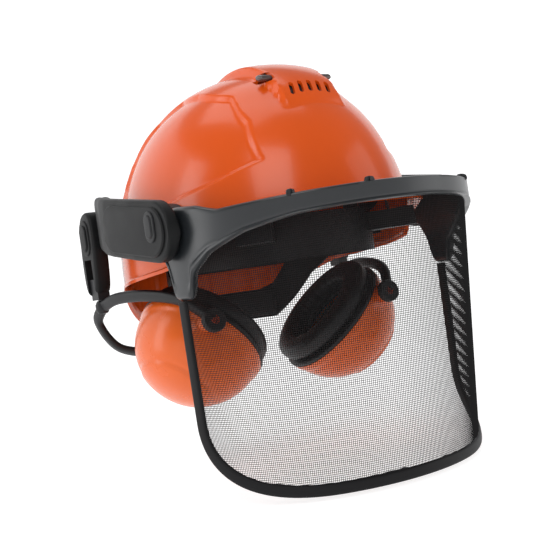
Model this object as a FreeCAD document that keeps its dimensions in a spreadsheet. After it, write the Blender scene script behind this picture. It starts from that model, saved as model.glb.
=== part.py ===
import FreeCAD
import Part
import Sketcher
import os
from FreeCAD import Vector

# Forestry helmet, as worn: +Z up, wearer's front towards -Y, wearer's right towards -X.
# The origin is the middle of the head opening, at the height of the headband's lower edge.

SIZES = {
    # shell: an egg-shaped dome with a vent hump on top and a short peak in front
    "halfWidth": 110.2, "halfLength": 141.7, "domeHeight": 146.5, "domeRaise": 9.2, "domeFull": 2.29,
    "wall": 2.5,
    "humpWidth": 90, "humpLength": 77, "humpHeight": 56, "humpBack": -24, "humpRaise": 104,
    "humpFlank": 31,
    "rimFront": 42, "rimSide": 14, "rimEar": 8, "rimNape": -34,
    "peakWidth": 103, "peakReach": 153, "peakThick": 3.2,
    "slotWide": 4, "slotLong": 12, "slotPitch": 9.5, "ventForward": 88,
    # head gear inside the shell
    "headWide": 78.2, "headLong": 97.2, "bandThick": 2.2, "bandLow": 6, "bandTall": 32,
    "webWide": 92, "webLong": 118, "webTall": 108, "webRaise": 20, "webThick": 1.4, "webStrip": 19,
    "anchorWide": 26, "anchorLow": 20, "anchorTall": 14,
    "napeLow": -40, "napeTall": 26, "knobRadius": 15, "knobLong": 13, "sweatThick": 3,
    # visor
    "pivotY": -32, "pivotZ": 38, "pinRadius": 5, "runFit": 0.08,
    "browWide": 119, "browReach": 116, "browBack": -68.7, "browThick": 6.3,
    "screenWide": 116.8, "screenReach": 112.6, "screenFlare": 0.9, "screenTaper": 6.8, "screenLean": 20.5,
    "screenDrop": 152, "screenThick": 0.8,
    "trimWide": 8, "trimThick": 4.4, "cornerDeep": 72, "cornerRise": 50,
    # ear muff carrier on each side
    "armIn": 120.2, "armOut": 134, "armRadius": 21.5, "armFrontY": -70, "armFrontZ": 37.5,
    "armRearY": 50, "armRearZ": 56, "linkIn": 113, "linkOut": 126, "linkRadius": 18,
    "swingY": 66, "swingZ": 52, "linkDrop": 40, "blockY": 73, "blockZ": 6,
    # ear cups
    "cupX": 64, "cupY": 16, "cupZ": 47, "cupTilt": 45, "cupPitch": 11,
    "cupDeep": 50, "cupLong": 56, "cupTall": 50, "cupWall": 2.5, "plateThick": 4, "cushionThick": 16,
    "pinReach": 60, "pinUp": 16, "pinOut": 8, "cupPin": 3.4,
}

doc = FreeCAD.newDocument("helmet")
sheet = doc.addObject("Spreadsheet::Sheet", "Sizes")
for row, (name, value) in enumerate(SIZES.items(), start=1):
    sheet.set("A%d" % row, name)
    sheet.set("B%d" % row, str(value))
    sheet.setAlias("B%d" % row, name)
doc.recompute()

nodes = {}
limits = {}


def link(text):
    """Write a size formula with every size name pointing at the sheet."""
    words = sorted(SIZES, key=len, reverse=True)
    out = ""
    i = 0
    while i < len(text):
        hit = next((w for w in words if text.startswith(w, i)), None)
        if hit:
            out += "Sizes." + hit
            i += len(hit)
        else:
            out += text[i]
            i += 1
    return out


def size(text):
    """The number a size formula stands for."""
    return float(worth(text))


def worth(text):
    total = 0.0
    for term in text.replace("-", "+-").split("+"):
        term = term.strip()
        if term:
            sign = -1.0 if term.startswith("-") else 1.0
            term = term.lstrip("-").strip()
            product = 1.0
            for factor in term.split("*"):
                factor = factor.strip()
                product *= SIZES[factor] if factor in SIZES else float(factor)
            total += sign * product
    return total


def bind(thing, **formulas):
    """Tie properties of an object to formulas in the sheet."""
    for key, formula in formulas.items():
        path = ".Placement.Base." + key if key in ("x", "y", "z") else key
        thing.setExpression(path, link(str(formula)))
    return thing


def box(name, x, y, z):
    """A block from three (low, high) pairs of formulas."""
    block = doc.addObject("Part::Box", name)
    bind(block, Length="(%s)-(%s)" % (x[1], x[0]), Width="(%s)-(%s)" % (y[1], y[0]))
    bind(block, Height="(%s)-(%s)" % (z[1], z[0]), x=x[0], y=y[0], z=z[0])
    return block


def rod(name, radius, length, axis, x, y, z):
    """A cylinder that starts at x, y, z and runs along +X, +Y or +Z."""
    cylinder = doc.addObject("Part::Cylinder", name)
    turn = {"X": (Vector(0, 1, 0), 90), "Y": (Vector(1, 0, 0), -90), "Z": (Vector(0, 0, 1), 0)}[axis]
    cylinder.Placement = FreeCAD.Placement(Vector(0, 0, 0), FreeCAD.Rotation(*turn))
    return bind(cylinder, Radius=radius, Height=length, x=x, y=y, z=z)


def egg(name, rx, ry, rz, x="0", y="0", z="0"):
    """A solid ellipsoid."""
    ball = doc.addObject("Part::Ellipsoid", name)
    return bind(ball, Radius1=rz, Radius2=rx, Radius3=ry, x=x, y=y, z=z)


def oval(name, rx, ry, y, z):
    """An oval outline lying flat, its long axis along Y or X."""
    ring = doc.addObject("Part::Ellipse", name)
    if size(ry.strip("()").split("-")[0]) > size(rx.strip("()").split("-")[0]):
        ring.Placement = FreeCAD.Placement(Vector(0, 0, 0), FreeCAD.Rotation(Vector(0, 0, 1), 90))
        bind(ring, MajorRadius=ry, MinorRadius=rx, y=y, z=z)
    else:
        bind(ring, MajorRadius=rx, MinorRadius=ry, y=y, z=z)
    return ring


def prism(name, rx, ry, y, low, high):
    """An upright oval cylinder."""
    body = doc.addObject("Part::Extrusion", name)
    body.Base = oval(name + "Oval", rx, ry, y, low)
    body.DirMode = "Custom"
    body.Dir = Vector(0, 0, 1)
    body.Solid = True
    return bind(body, LengthFwd="(%s)-(%s)" % (high, low))


def cut(name, base, tool):
    made = doc.addObject("Part::Cut", name)
    made.Base = base
    made.Tool = tool
    return made


def fuse(name, *shapes):
    made = doc.addObject("Part::MultiFuse", name)
    made.Shapes = list(shapes)
    return made


def common(name, *shapes):
    made = doc.addObject("Part::MultiCommon", name)
    made.Shapes = list(shapes)
    return made


def keep(name, thing):
    """Name a finished piece of the assembly."""
    thing.Label = name
    nodes[name] = thing
    return thing


def mirrored(name):
    """The left-hand copy of a right-hand piece."""
    other = doc.addObject("Part::Mirroring", name + "Left")
    other.Source = nodes[name + "_right"]
    other.Normal = Vector(1, 0, 0)
    other.Base = Vector(0, 0, 0)
    return keep(name + "_left", other)


def sketch(name, points, parent=None):
    """A closed outline in the side view, first number along Y, second along Z."""
    made = (parent or doc).newObject("Sketcher::SketchObject", name) if parent \
        else doc.addObject("Sketcher::SketchObject", name)
    axes = FreeCAD.Rotation(Vector(0, 1, 0), Vector(0, 0, 1), Vector(1, 0, 0), "ZXY")
    made.Placement = FreeCAD.Placement(Vector(0, 0, 0), axes)
    return closeOutline(made, points)


def closeOutline(made, points):
    """Join the points of an outline and fix each one by a size formula."""
    corners = [Vector(size(a), size(b), 0) for a, b in points]
    count = len(corners)
    for i in range(count):
        made.addGeometry(Part.LineSegment(corners[i], corners[(i + 1) % count]), False)
    for i in range(count):
        made.addConstraint(Sketcher.Constraint("Coincident", i, 2, (i + 1) % count, 1))
    for i, (a, b) in enumerate(points):
        for kind, text in (("DistanceX", a), ("DistanceY", b)):
            n = made.addConstraint(Sketcher.Constraint(kind, -1, 1, i, 1, size(text)))
            made.setExpression("Constraints[%d]" % n, link(text))
    return made


def sidePrism(name, points, low="-200", high="200"):
    """A side-view outline pushed out along X between two planes."""
    body = doc.addObject("Part::Extrusion", name)
    body.Base = sketch(name + "Outline", points)
    body.DirMode = "Custom"
    body.Dir = Vector(1, 0, 0)
    body.Solid = True
    return bind(body, LengthFwd=high, LengthRev="-(%s)" % low)


def cupPlace(thing):
    """Put a piece drawn round the cup's own middle into the helmet."""
    text = "placement(vector(-cupX;cupY;-cupZ);rotationx(-cupPitch)*rotationy(-cupTilt))"
    thing.setExpression("Placement", link(text))
    return thing


# ---------------------------------------------------------------- shell
def makeShell():
    dome = domeBody("DomeOuter", "0")
    outer = fuse("ShellOuter", dome, humpBody("HumpOuter", "0"))
    low = domeBody("DomeInner", "wall")
    hollow = cut("ShellHollow", outer, fuse("ShellInner", low, humpBody("HumpInner", "wall")))
    edge = [("-220", "rimFront"), ("-96", "rimFront"), ("-60", "rimSide"), ("40", "rimEar"),
            ("85", "-6"), ("128", "rimNape"), ("220", "rimNape"), ("220", "-260"), ("-220", "-260")]
    trimmed = cut("ShellTrimmed", hollow, sidePrism("RimCutter", edge))
    shade = prism("PeakOuter", "peakWidth", "peakReach", "0", "rimFront", "rimFront+peakThick")
    inner = prism("PeakInner", "halfWidth-1.6", "halfLength-1.6-3", "0", "0", "90")
    front = box("PeakFront", ("-200", "200"), ("-200", "-62"), ("0", "90"))
    peak = common("Peak", cut("PeakRing", shade, inner), front)
    whole = fuse("ShellWhole", trimmed, peak)
    return cut("Shell", whole, fuse("ShellOpenings", *ventSlots("Vent", "slotWide"), *tabWindows()))


def domeBody(name, inset):
    """The dome: ovals that shrink with height along a full-shouldered curve, drawn in by an inset."""
    rings = [oval(name + "Foot", "halfWidth-%s" % inset, "halfLength-%s" % inset, "0", "-70"),
             oval(name + "Skirt", "halfWidth-%s" % inset, "halfLength-%s" % inset, "0", "-30")]
    for i, k in enumerate((0.0, 0.2, 0.4, 0.57, 0.71, 0.82, 0.9, 0.955, 0.988)):
        shrink = "pow(1-pow(%g;domeFull);1/domeFull)" % k
        ring = oval("%sRing%d" % (name, i), "halfWidth", "halfLength", "0", "0")
        bind(ring, MajorRadius="(halfLength-%s)*%s" % (inset, shrink))
        bind(ring, MinorRadius="(halfWidth-%s)*%s" % (inset, shrink))
        bind(ring, z="domeRaise+%g*(domeHeight-%s)" % (k, inset))
        rings.append(ring)
    loft = doc.addObject("Part::Loft", name)
    loft.Sections = rings
    loft.Solid = True
    loft.Ruled = False
    return loft


def humpBody(name, inset):
    """The vent hump: a rounded back between two upright flanks, drawn in by an inset."""
    back = egg(name + "Back", "humpWidth-%s" % inset, "humpLength-%s" % inset, "humpHeight-%s" % inset,
               y="humpBack", z="humpRaise")
    flank = box(name + "Flank", ("%s-humpFlank" % inset, "humpFlank-%s" % inset), ("-120", "90"),
                ("100", "190"))
    return common(name, back, flank)


def ventSlots(name, width):
    """Five short slots side by side across the front of the hump."""
    slots = []
    for i in range(5):
        slot = box("%sSlot%d" % (name, i), ("-0.5*%s+%d*slotPitch" % (width, i - 2),
                   "0.5*%s+%d*slotPitch" % (width, i - 2)),
                   ("-ventForward-0.5*slotLong", "0.5*slotLong-ventForward"), ("118", "170"))
        slots.append(slot)
    return slots


def tabWindows():
    """Openings in the flanks of the hump for the two finger tabs."""
    right = box("WindowRight", ("-40", "-25"), ("-73", "-52"), ("139.6", "148.6"))
    left = box("WindowLeft", ("25", "40"), ("-73", "-52"), ("139.6", "148.6"))
    return [right, left]


def makeSlider():
    """The vent shutter: a curved plate under the hump with a finger tab on each flank."""
    skin = cut("ShutterSkin", humpBody("ShutterOuter", "(wall+1.3)"), humpBody("ShutterInner", "(wall+3.1)"))
    field = box("ShutterField", ("-40", "40"), ("-ventForward-7", "-58"), ("126", "170"))
    right = box("TabRight", ("-38.5", "-25.5"), ("-71", "-62"), ("140.5", "144.3"))
    left = box("TabLeft", ("25.5", "38.5"), ("-71", "-62"), ("140.5", "144.3"))
    plate = fuse("ShutterPlate", common("ShutterCurve", skin, field), right, left)
    return cut("Shutter", plate, fuse("ShutterSlots", *ventSlots("Shutter", "slotWide")))


# ---------------------------------------------------------------- head gear
def band(name, grow, thick, low, high):
    """An oval hoop that follows the headband."""
    outer = prism(name + "Out", "headWide+%s" % grow, "headLong+%s" % grow, "0", low, high)
    inner = prism(name + "In", "headWide+%s-%s" % (grow, thick), "headLong+%s-%s" % (grow, thick),
                  "0", low, high)
    return cut(name + "Hoop", outer, inner)


def makeWebbing():
    skin = cut("WebSkin", egg("WebOut", "webWide", "webLong", "webTall", z="webRaise"),
               egg("WebIn", "webWide-webThick", "webLong-webThick", "webTall-webThick", z="webRaise"))
    strips = [strip("WebStrip%d" % i, angle) for i, angle in enumerate((0, 55, 125))]
    top = box("WebField", ("-200", "200"), ("-200", "200"), ("anchorLow+anchorTall", "200"))
    return common("Webbing", skin, fuse("WebStrips", *strips), top)


def strip(name, angle):
    """A long flat block through the crown, turned about the vertical."""
    made = doc.addObject("Part::Box", name)
    turn = FreeCAD.Rotation(Vector(0, 0, 1), angle)
    offset = turn.multVec(Vector(-150, -0.5 * SIZES["webStrip"], 0))
    made.Placement = FreeCAD.Placement(offset, turn)
    return bind(made, Length="300", Width="webStrip", Height="300")


def makeAnchor(name, angle):
    """A clip between the headband and the shell, under one end of the webbing."""
    block = doc.addObject("Part::Box", "Anchor" + name)
    turn = FreeCAD.Rotation(Vector(0, 0, 1), angle)
    offset = turn.multVec(Vector(60, -0.5 * SIZES["anchorWide"], 0)) + Vector(0, 0, 20)
    block.Placement = FreeCAD.Placement(offset, turn)
    bind(block, Length="110", Width="anchorWide", Height="anchorTall", z="anchorLow")
    inside = limits["inside"]
    hole = prism("AnchorHole" + name, "headWide+0.1", "headLong+0.1", "0", "0", "60")
    keep("strap_anchor_" + name, cut("AnchorDone" + name, common("AnchorIn" + name, block, inside), hole))


def makeHeadgear():
    keep("crown_straps", makeWebbing())
    places = {"mid_left": 0, "rear_left": 55, "rear_right": 125, "mid_right": 180,
              "front_right": 235, "front_left": 305}
    for name, angle in places.items():
        makeAnchor(name, angle)
    hoop = band("Head", "0", "bandThick", "bandLow", "bandLow+bandTall")
    strap = rod("ChinStrapHole", "2.2", "300", "X", "-150", "20", "14")
    keep("headband", cut("Headband", hoop, strap))
    sweat = band("Sweat", "0-bandThick-0.1", "sweatThick", "bandLow+2", "bandLow+bandTall-2")
    front = box("SweatField", ("-200", "200"), ("-200", "-20"), ("-50", "100"))
    keep("sweatband", common("Sweatband", sweat, front))
    nape = band("Nape", "bandThick+0.1", "bandThick", "napeLow", "30")
    edge = [("28", "bandLow"), ("44", "bandLow+13"), ("62", "bandLow+10"), ("78", "-10"),
            ("86", "napeLow+napeTall"), ("120", "napeLow+napeTall"), ("120", "napeLow"),
            ("80", "napeLow"), ("66", "-26"), ("48", "-6")]
    keep("nape_band", common("NapeBand", nape, sidePrism("NapeEdge", edge)))
    pad = band("Pad", "0", "4", "napeLow+2", "napeLow+napeTall-2")
    rear = box("PadField", ("-46", "46"), ("60", "200"), ("-60", "0"))
    keep("nape_pad", common("NapePad", pad, rear))


def makeRatchet():
    """Housing, cover, pinion and knob behind the nape band, on one axis along Y."""
    mid = "napeLow+0.5*napeTall"
    block = box("HousingBlock", ("-27", "27"), ("80", "110"), ("napeLow", "napeLow+napeTall"))
    inner = prism("HousingInner", "headWide+bandThick+0.2", "headLong+bandThick+0.2", "0", "-60", "0")
    pocket = rod("HousingPocket", "6.3", "10", "Y", "0", "101.5", mid)
    keep("ratchet_housing", cut("Housing", cut("HousingCurve", block, inner), pocket))
    plate = box("CoverPlate", ("-24", "24"), ("110.1", "112.1"), ("napeLow+2", "napeLow+napeTall-2"))
    hole = rod("CoverHole", "3.1", "10", "Y", "0", "105", mid)
    keep("ratchet_cover", cut("Cover", plate, hole))
    gear = rod("PinionGear", "6", "6.5", "Y", "0", "102", mid)
    shaft = rod("PinionShaft", "3", "12", "Y", "0", "108", mid)
    keep("ratchet_pinion", fuse("Pinion", gear, shaft))
    grip = rod("KnobGrip", "knobRadius", "knobLong", "Y", "0", "112.5", mid)
    bore = rod("KnobBore", "3", "7.5", "Y", "0", "112.5", mid)
    flutes = [knobFlute(i) for i in range(12)]
    keep("ratchet_knob", cut("Knob", grip, fuse("KnobCuts", bore, *flutes)))


def knobFlute(i):
    """One finger groove in the edge of the knob."""
    groove = doc.addObject("Part::Cylinder", "Flute%d" % i)
    turn = FreeCAD.Rotation(Vector(1, 0, 0), -90)
    groove.Placement = FreeCAD.Placement(Vector(0, 0, 0), turn)
    away = "(knobRadius+1.4)*%s(%d deg)"
    bind(groove, Radius="2.6", Height="30", x=away % ("cos", i * 30), y="110",
         z="napeLow+0.5*napeTall+" + away % ("sin", i * 30))
    return groove


# ---------------------------------------------------------------- visor
def screenTube(name, grow):
    """A tapering oval tube that the screen is part of, grown by a wall offset."""
    loft = doc.addObject("Part::Loft", name)
    top = oval(name + "Top", "screenWide+%s" % grow, "screenReach+%s" % grow, "browBack", "50")
    low = oval(name + "Low", "screenWide+screenFlare+%s" % grow, "screenReach-screenTaper+%s" % grow,
               "browBack+screenLean", "-160")
    loft.Sections = [low, top]
    loft.Solid = True
    loft.Ruled = True
    return loft


def screenOutline(name, inset, top):
    """The screen's side view: straight rear edge, straight lower edge, one large oval corner."""
    back = "browBack-%s" % inset
    low = "0-screenDrop+%s" % inset
    upper = box(name + "Upper", ("-200", "200"), ("-300", back), (low + "+cornerRise", top))
    lower = box(name + "Lower", ("-200", "200"), ("-300", back + "-cornerDeep"),
                (low, low + "+cornerRise"))
    corner = sideOval(name + "Corner", "cornerDeep", "cornerRise", back + "-cornerDeep",
                      low + "+cornerRise")
    return fuse(name, upper, lower, corner)


def sideOval(name, deep, tall, y, z):
    """An oval seen from the side, pushed out across the whole width."""
    ring = doc.addObject("Part::Ellipse", name + "Ring")
    axes = FreeCAD.Rotation(Vector(0, 1, 0), Vector(0, 0, 1), Vector(1, 0, 0), "ZXY")
    ring.Placement = FreeCAD.Placement(Vector(0, 0, 0), axes)
    bind(ring, MajorRadius=deep, MinorRadius=tall, x="-200", y=y, z=z)
    body = doc.addObject("Part::Extrusion", name)
    body.Base = ring
    body.DirMode = "Custom"
    body.Dir = Vector(1, 0, 0)
    body.Solid = True
    return bind(body, LengthFwd="400")


def makeScreen():
    sheet_ = cut("ScreenWall", screenTube("ScreenOut", "0.5*screenThick"),
                 screenTube("ScreenIn", "0-0.5*screenThick"))
    mesh = keep("visor_mesh", common("Screen", sheet_, screenOutline("ScreenEdge", "3", "41")))
    wall = cut("TrimWall", screenTube("TrimOut", "0.5*trimThick"), screenTube("TrimIn", "0-0.5*trimThick"))
    frame = cut("TrimFrame", common("TrimField", wall, screenOutline("TrimEdge", "0", "-12.4")),
                screenOutline("TrimHole", "trimWide", "20"))
    keep("visor_trim", cut("Trim", frame, mesh))
    return mesh


def makeBrow(mesh):
    """The visor's curved holder, with an arm back to the pivot on each side."""
    deep = prism("BrowOut", "browWide", "browReach", "browBack", "-30", "80")
    hole = prism("BrowIn", "browWide-browThick", "browReach-browThick", "browBack", "-30", "80")
    front = box("BrowFront", ("-200", "200"), ("-300", "browBack"), ("-40", "90"))
    ring = common("BrowRing", cut("BrowWall", deep, hole), front)
    arms = [box("BrowArmRight", ("-browWide", "-browWide+browThick"), ("browBack", "pivotY+20"),
                ("-30", "80")),
            box("BrowArmLeft", ("browWide-browThick", "browWide"), ("browBack", "pivotY+20"),
                ("-30", "80"))]
    edge = [("-200", "37"), ("-200", "49.5"), ("-150", "46.5"), ("-116.5", "45"), ("-101", "50"),
            ("-80", "52"), ("-44", "52"), ("pivotY", "pivotZ+14"), ("pivotY", "pivotZ-14"),
            ("-56", "20"), ("-65", "4"), ("-69", "-12"), ("-84", "-12"), ("-90", "6"), ("-108", "17"),
            ("-133", "27"), ("-159", "33")]
    boss = rod("BrowBoss", "15", "400", "X", "-200", "pivotY", "pivotZ")
    side = fuse("BrowSide", sidePrism("BrowEdge", edge), boss)
    solid = common("BrowSolid", fuse("BrowStock", ring, *arms), side)
    bore = rod("BrowBore", "pinRadius+runFit", "400", "X", "-200", "pivotY", "pivotZ")
    keep("visor_brow", cut("Brow", solid, fuse("BrowCuts", bore, mesh)))


def makeClip(name, x, y, z):
    """A small hook on the brow's upper edge that holds the screen."""
    foot = box("Clip%sFoot" % name, ("%s-4" % x, "%s+4" % x), (y, "%s+8" % y), (z, "%s+2.2" % z))
    return keep("visor_clip_" + name, foot)


def makePins():
    pin = rod("VisorPin", "pinRadius", "armIn-109.5-0.2", "X", "0-armIn+0.1", "pivotY", "pivotZ")
    keep("visor_pin_right", pin)
    mirrored("visor_pin")


# ---------------------------------------------------------------- carrier on the right side
def makeAdapter(arm):
    """The plug in the shell's side slot, with the step that carries the arm."""
    plate = box("AdapterPlate", ("-109.4", "-80"), ("-58", "25"), ("34", "60"))
    step = box("AdapterStep", ("0.1-armIn", "-96"), ("-6", "25"), ("30", "60"))
    room = fuse("AdapterLimit", limits["outside"], arm)
    keep("slot_adapter_right", cut("Adapter", fuse("AdapterStock", plate, step), room))
    mirrored("slot_adapter")


def capsule(name, radius, low, high):
    """A long rounded block between the arm's two end centres, between two X planes."""
    ends = [rod(name + "Front", radius, "(%s)-(%s)" % (high, low), "X", low, "armFrontY", "armFrontZ"),
            rod(name + "Rear", radius, "(%s)-(%s)" % (high, low), "X", low, "armRearY", "armRearZ")]
    run = Vector(0, SIZES["armRearY"] - SIZES["armFrontY"], SIZES["armRearZ"] - SIZES["armFrontZ"])
    middle = doc.addObject("Part::Box", name + "Middle")
    turn = FreeCAD.Rotation(Vector(0, 1, 0), run)
    middle.Placement = FreeCAD.Placement(Vector(0, 0, 0), turn)
    side = turn.multVec(Vector(0, 0, 1))
    bind(middle, Length="(%s)-(%s)" % (high, low), Width="%f" % run.Length, Height="2*(%s)" % radius)
    bind(middle, x=low, y="armFrontY-(%s)*%f" % (radius, side.y), z="armFrontZ-(%s)*%f" % (radius, side.z))
    return fuse(name, middle, *ends)


def makeArm():
    """The carrier arm: straight along the helmet's side, then bent in behind the ear."""
    full = capsule("ArmFull", "armRadius", "-145", "-95")
    plan = doc.addObject("Part::Extrusion", "ArmPlan")
    plan.Base = planSketch()
    plan.DirMode = "Custom"
    plan.Dir = Vector(0, 0, 1)
    plan.Solid = True
    bind(plan, LengthFwd="150", LengthRev="50")
    behind = box("ArmRear", ("-200", "0.8-linkIn"), ("swingY-13", "200"), ("-50", "150"))
    arm = keep("carrier_arm_right", cut("Arm", common("ArmStock", full, plan), behind))
    lid = common("LidCut", capsule("Lid", "armRadius-4", "-160", "-95"), coverStrip())
    keep("arm_cover_right", lid)
    press = rod("ArmPress", "6.5", "6", "X", "1.2-armOut-3.6", "-72", "45")
    lower = rod("ArmPressLow", "6.5", "6", "X", "1.2-armOut-3.6", "-72", "37")
    body = fuse("ArmPressBody", press, lower)
    keep("arm_button_right", cut("ArmButton", body, fuse("ArmButtonLimit", arm, lid)))
    for name in ("carrier_arm", "arm_cover", "arm_button"):
        mirrored(name)
    return arm


def coverStrip():
    """The cover's thickness, seen from above, along the straight front part of the arm."""
    strip_ = doc.addObject("Part::Extrusion", "CoverStrip")
    points = [("8-armOut", "-130"), ("-armOut", "-40"), ("-armOut", "-2"),
              ("-armOut-2.3", "-2"), ("-armOut-2.3", "-40"), ("5.7-armOut", "-130")]
    strip_.Base = planOutline("CoverOutline", points)
    strip_.DirMode = "Custom"
    strip_.Dir = Vector(0, 0, 1)
    strip_.Solid = True
    return bind(strip_, LengthFwd="150", LengthRev="50")


def planSketch():
    """The arm seen from above: thin in front, full beside the ear, then bent in behind it."""
    points = [("8-armOut", "-130"), ("-armOut", "-40"), ("-armOut", "4"), ("7-armOut", "34"),
              ("20-armOut", "80"), ("20-armIn", "80"), ("9-armIn", "40"), ("-armIn", "14"),
              ("-armIn", "-130")]
    return planOutline("ArmPlanOutline", points)


def planOutline(name, points):
    """A closed outline in the top view, first number along X, second along Y."""
    made = doc.addObject("Sketcher::SketchObject", name)
    return closeOutline(made, points)


def makeLink():
    """The swing link: hangs behind the arm and holds the spring block in its lower end."""
    body = doc.addObject("PartDesign::Body", "LinkBody")
    half = "linkRadius"
    points = [("swingY-8.5", "swingZ-6"), ("swingY-7", "swingZ+12"), ("swingY", "swingZ+17"),
              ("swingY+12", "swingZ+14"), ("swingY+" + half, "swingZ+4"), ("swingY+21", "swingZ-24"),
              ("swingY+20", "swingZ-linkDrop-6"), ("swingY+14", "swingZ-linkDrop-12"),
              ("swingY+2", "swingZ-linkDrop-12"), ("swingY-5", "swingZ-linkDrop-4"),
              ("swingY-8", "swingZ-20")]
    outline = sketch("LinkOutline", points, body)
    bind(outline, x="0-linkOut")
    pad = body.newObject("PartDesign::Pad", "LinkPad")
    pad.Profile = outline
    bind(pad, Length="linkOut-linkIn")
    gap = box("LinkWindow", ("-200", "3.5-linkOut"), ("blockY-7.3", "blockY+7.3"), ("0", "blockZ+16"))
    slot = box("LinkGap", ("-200", "200"), ("blockY-7.3", "blockY+7.3"), ("-20", "blockZ+25"))
    keep("swing_link_right", cut("Link", body, fuse("LinkCuts", gap, slot)))
    keep("link_button_right", rod("LinkButton", "8.5", "2.4", "X", "0-linkOut-2.5", "swingY+4", "swingZ-8"))
    for name in ("swing_link", "link_button"):
        mirrored(name)


def makeBlock():
    """The sprung block that lets the muff spread outwards, with a guide hole for the stem."""
    stock = box("BlockStock", ("-124", "-114"), ("blockY-7", "blockY+7"), ("blockZ-9", "blockZ+8"))
    hole = box("BlockHole", ("-120.6", "-117.4"), ("blockY-4.6", "blockY+4.6"), ("-40", "40"))
    keep("spring_block_right", cut("Block", stock, hole))
    mirrored("spring_block")


def yokePath(points):
    """A smooth centre line through a few points."""
    curve = Part.BSplineCurve()
    curve.interpolate([Vector(*p) for p in points])
    return Part.Wire([curve.toShape()])


def yokeArm(name, points, radius):
    """A round bar bent along a centre line."""
    path = yokePath(points)
    start = Vector(*points[0])
    ahead = path.Edges[0].tangentAt(path.Edges[0].FirstParameter)
    ring = Part.Wire([Part.makeCircle(radius, start, ahead)])
    bar = doc.addObject("Part::Feature", name)
    bar.Shape = path.makePipeShell([ring], True, True)
    return bar


def cupPoint(x, y, z):
    """A place given from the middle of the cup, turned with the cup."""
    pitch = FreeCAD.Rotation(Vector(1, 0, 0), -SIZES["cupPitch"])
    tilt = FreeCAD.Rotation(Vector(0, 1, 0), -SIZES["cupTilt"])
    turned = pitch.multVec(tilt.multVec(Vector(x, y, z)))
    return turned + Vector(-SIZES["cupX"], SIZES["cupY"], -SIZES["cupZ"])


def makeYoke():
    """The fork round the cup: two bars from a stem to an eye at each end of the cup."""
    reach = SIZES["pinReach"] + 3.0
    out = -SIZES["pinOut"]
    up = SIZES["pinUp"]
    front = cupPoint(out, -reach, up)
    rear = cupPoint(out, reach, up)
    hub = Vector(-119, SIZES["blockY"], SIZES["blockZ"] - 15)
    ahead = [hub, Vector(-116, 46, -4), Vector(-107, 8, -5), Vector(-95, -24, -12), front]
    behind = [hub, Vector(-118, SIZES["blockY"] + 16, -22), Vector(-105, SIZES["blockY"] + 14, -44), rear]
    bars = [yokeArm("YokeAhead", ahead, 3.3), yokeArm("YokeBehind", behind, 3.3)]
    knot = doc.addObject("Part::Sphere", "YokeKnot")
    bind(knot, Radius="5.5", x="-119", y="blockY", z="blockZ-15")
    stem = box("YokeStem", ("-120.5", "-117.5"), ("blockY-4.5", "blockY+4.5"), ("blockZ-17", "blockZ+18"))
    holes = [rod("StemHole%d" % i, "1.4", "20", "X", "-130", "blockY", "blockZ+%d" % (11 + 5 * i))
             for i in range(2)]
    eyes = [yokeEye("YokeEyeFront", "0-pinReach-5.6"), yokeEye("YokeEyeRear", "pinReach-0.4")]
    bores = [cupRod("YokeBoreFront", "cupPin", "12", "0-pinReach-7"),
             cupRod("YokeBoreRear", "cupPin", "12", "pinReach-5")]
    whole = fuse("YokeStock", stem, knot, *bars, *eyes)
    room = cupPlace(fuse("YokeCupRoom", egg("YokeBowlRoom", "cupDeep+1.2", "cupLong+1.2", "cupTall+1.2"),
                         rod("YokeBossRoomFront", "7.8", "12", "Y", "0-pinOut", "0.45-pinReach", "pinUp"),
                         rod("YokeBossRoomRear", "7.8", "12", "Y", "0-pinOut", "pinReach-12.45", "pinUp")))
    keep("yoke_right", cut("Yoke", whole, fuse("YokeCuts", *holes, *bores, room)))
    mirrored("yoke")


def cupRod(name, radius, length, start):
    """A cylinder on the cup's pin axis."""
    made = doc.addObject("Part::Cylinder", name)
    bind(made, Radius=radius, Height=length)
    text = ("placement(vector(-cupX;cupY;-cupZ);rotationx(-cupPitch)*rotationy(-cupTilt))"
            "*placement(vector(-pinOut;%s;pinUp);rotationx(-90))" % start)
    made.setExpression("Placement", link(text))
    return made


def yokeEye(name, start):
    """The flat round end of a yoke bar."""
    return cupRod(name, "8", "6", start)


def cupOval(name, long, tall, low, high):
    """An oval block round the cup's own X axis."""
    body = doc.addObject("Part::Extrusion", name)
    ring = doc.addObject("Part::Ellipse", name + "Ring")
    axes = FreeCAD.Rotation(Vector(0, 1, 0), Vector(0, 0, 1), Vector(1, 0, 0), "ZXY")
    ring.Placement = FreeCAD.Placement(Vector(0, 0, 0), axes)
    bind(ring, MajorRadius=long, MinorRadius=tall, x=low)
    body.Base = ring
    body.DirMode = "Custom"
    body.Dir = Vector(1, 0, 0)
    body.Solid = True
    return bind(body, LengthFwd="(%s)-(%s)" % (high, low))


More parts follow.
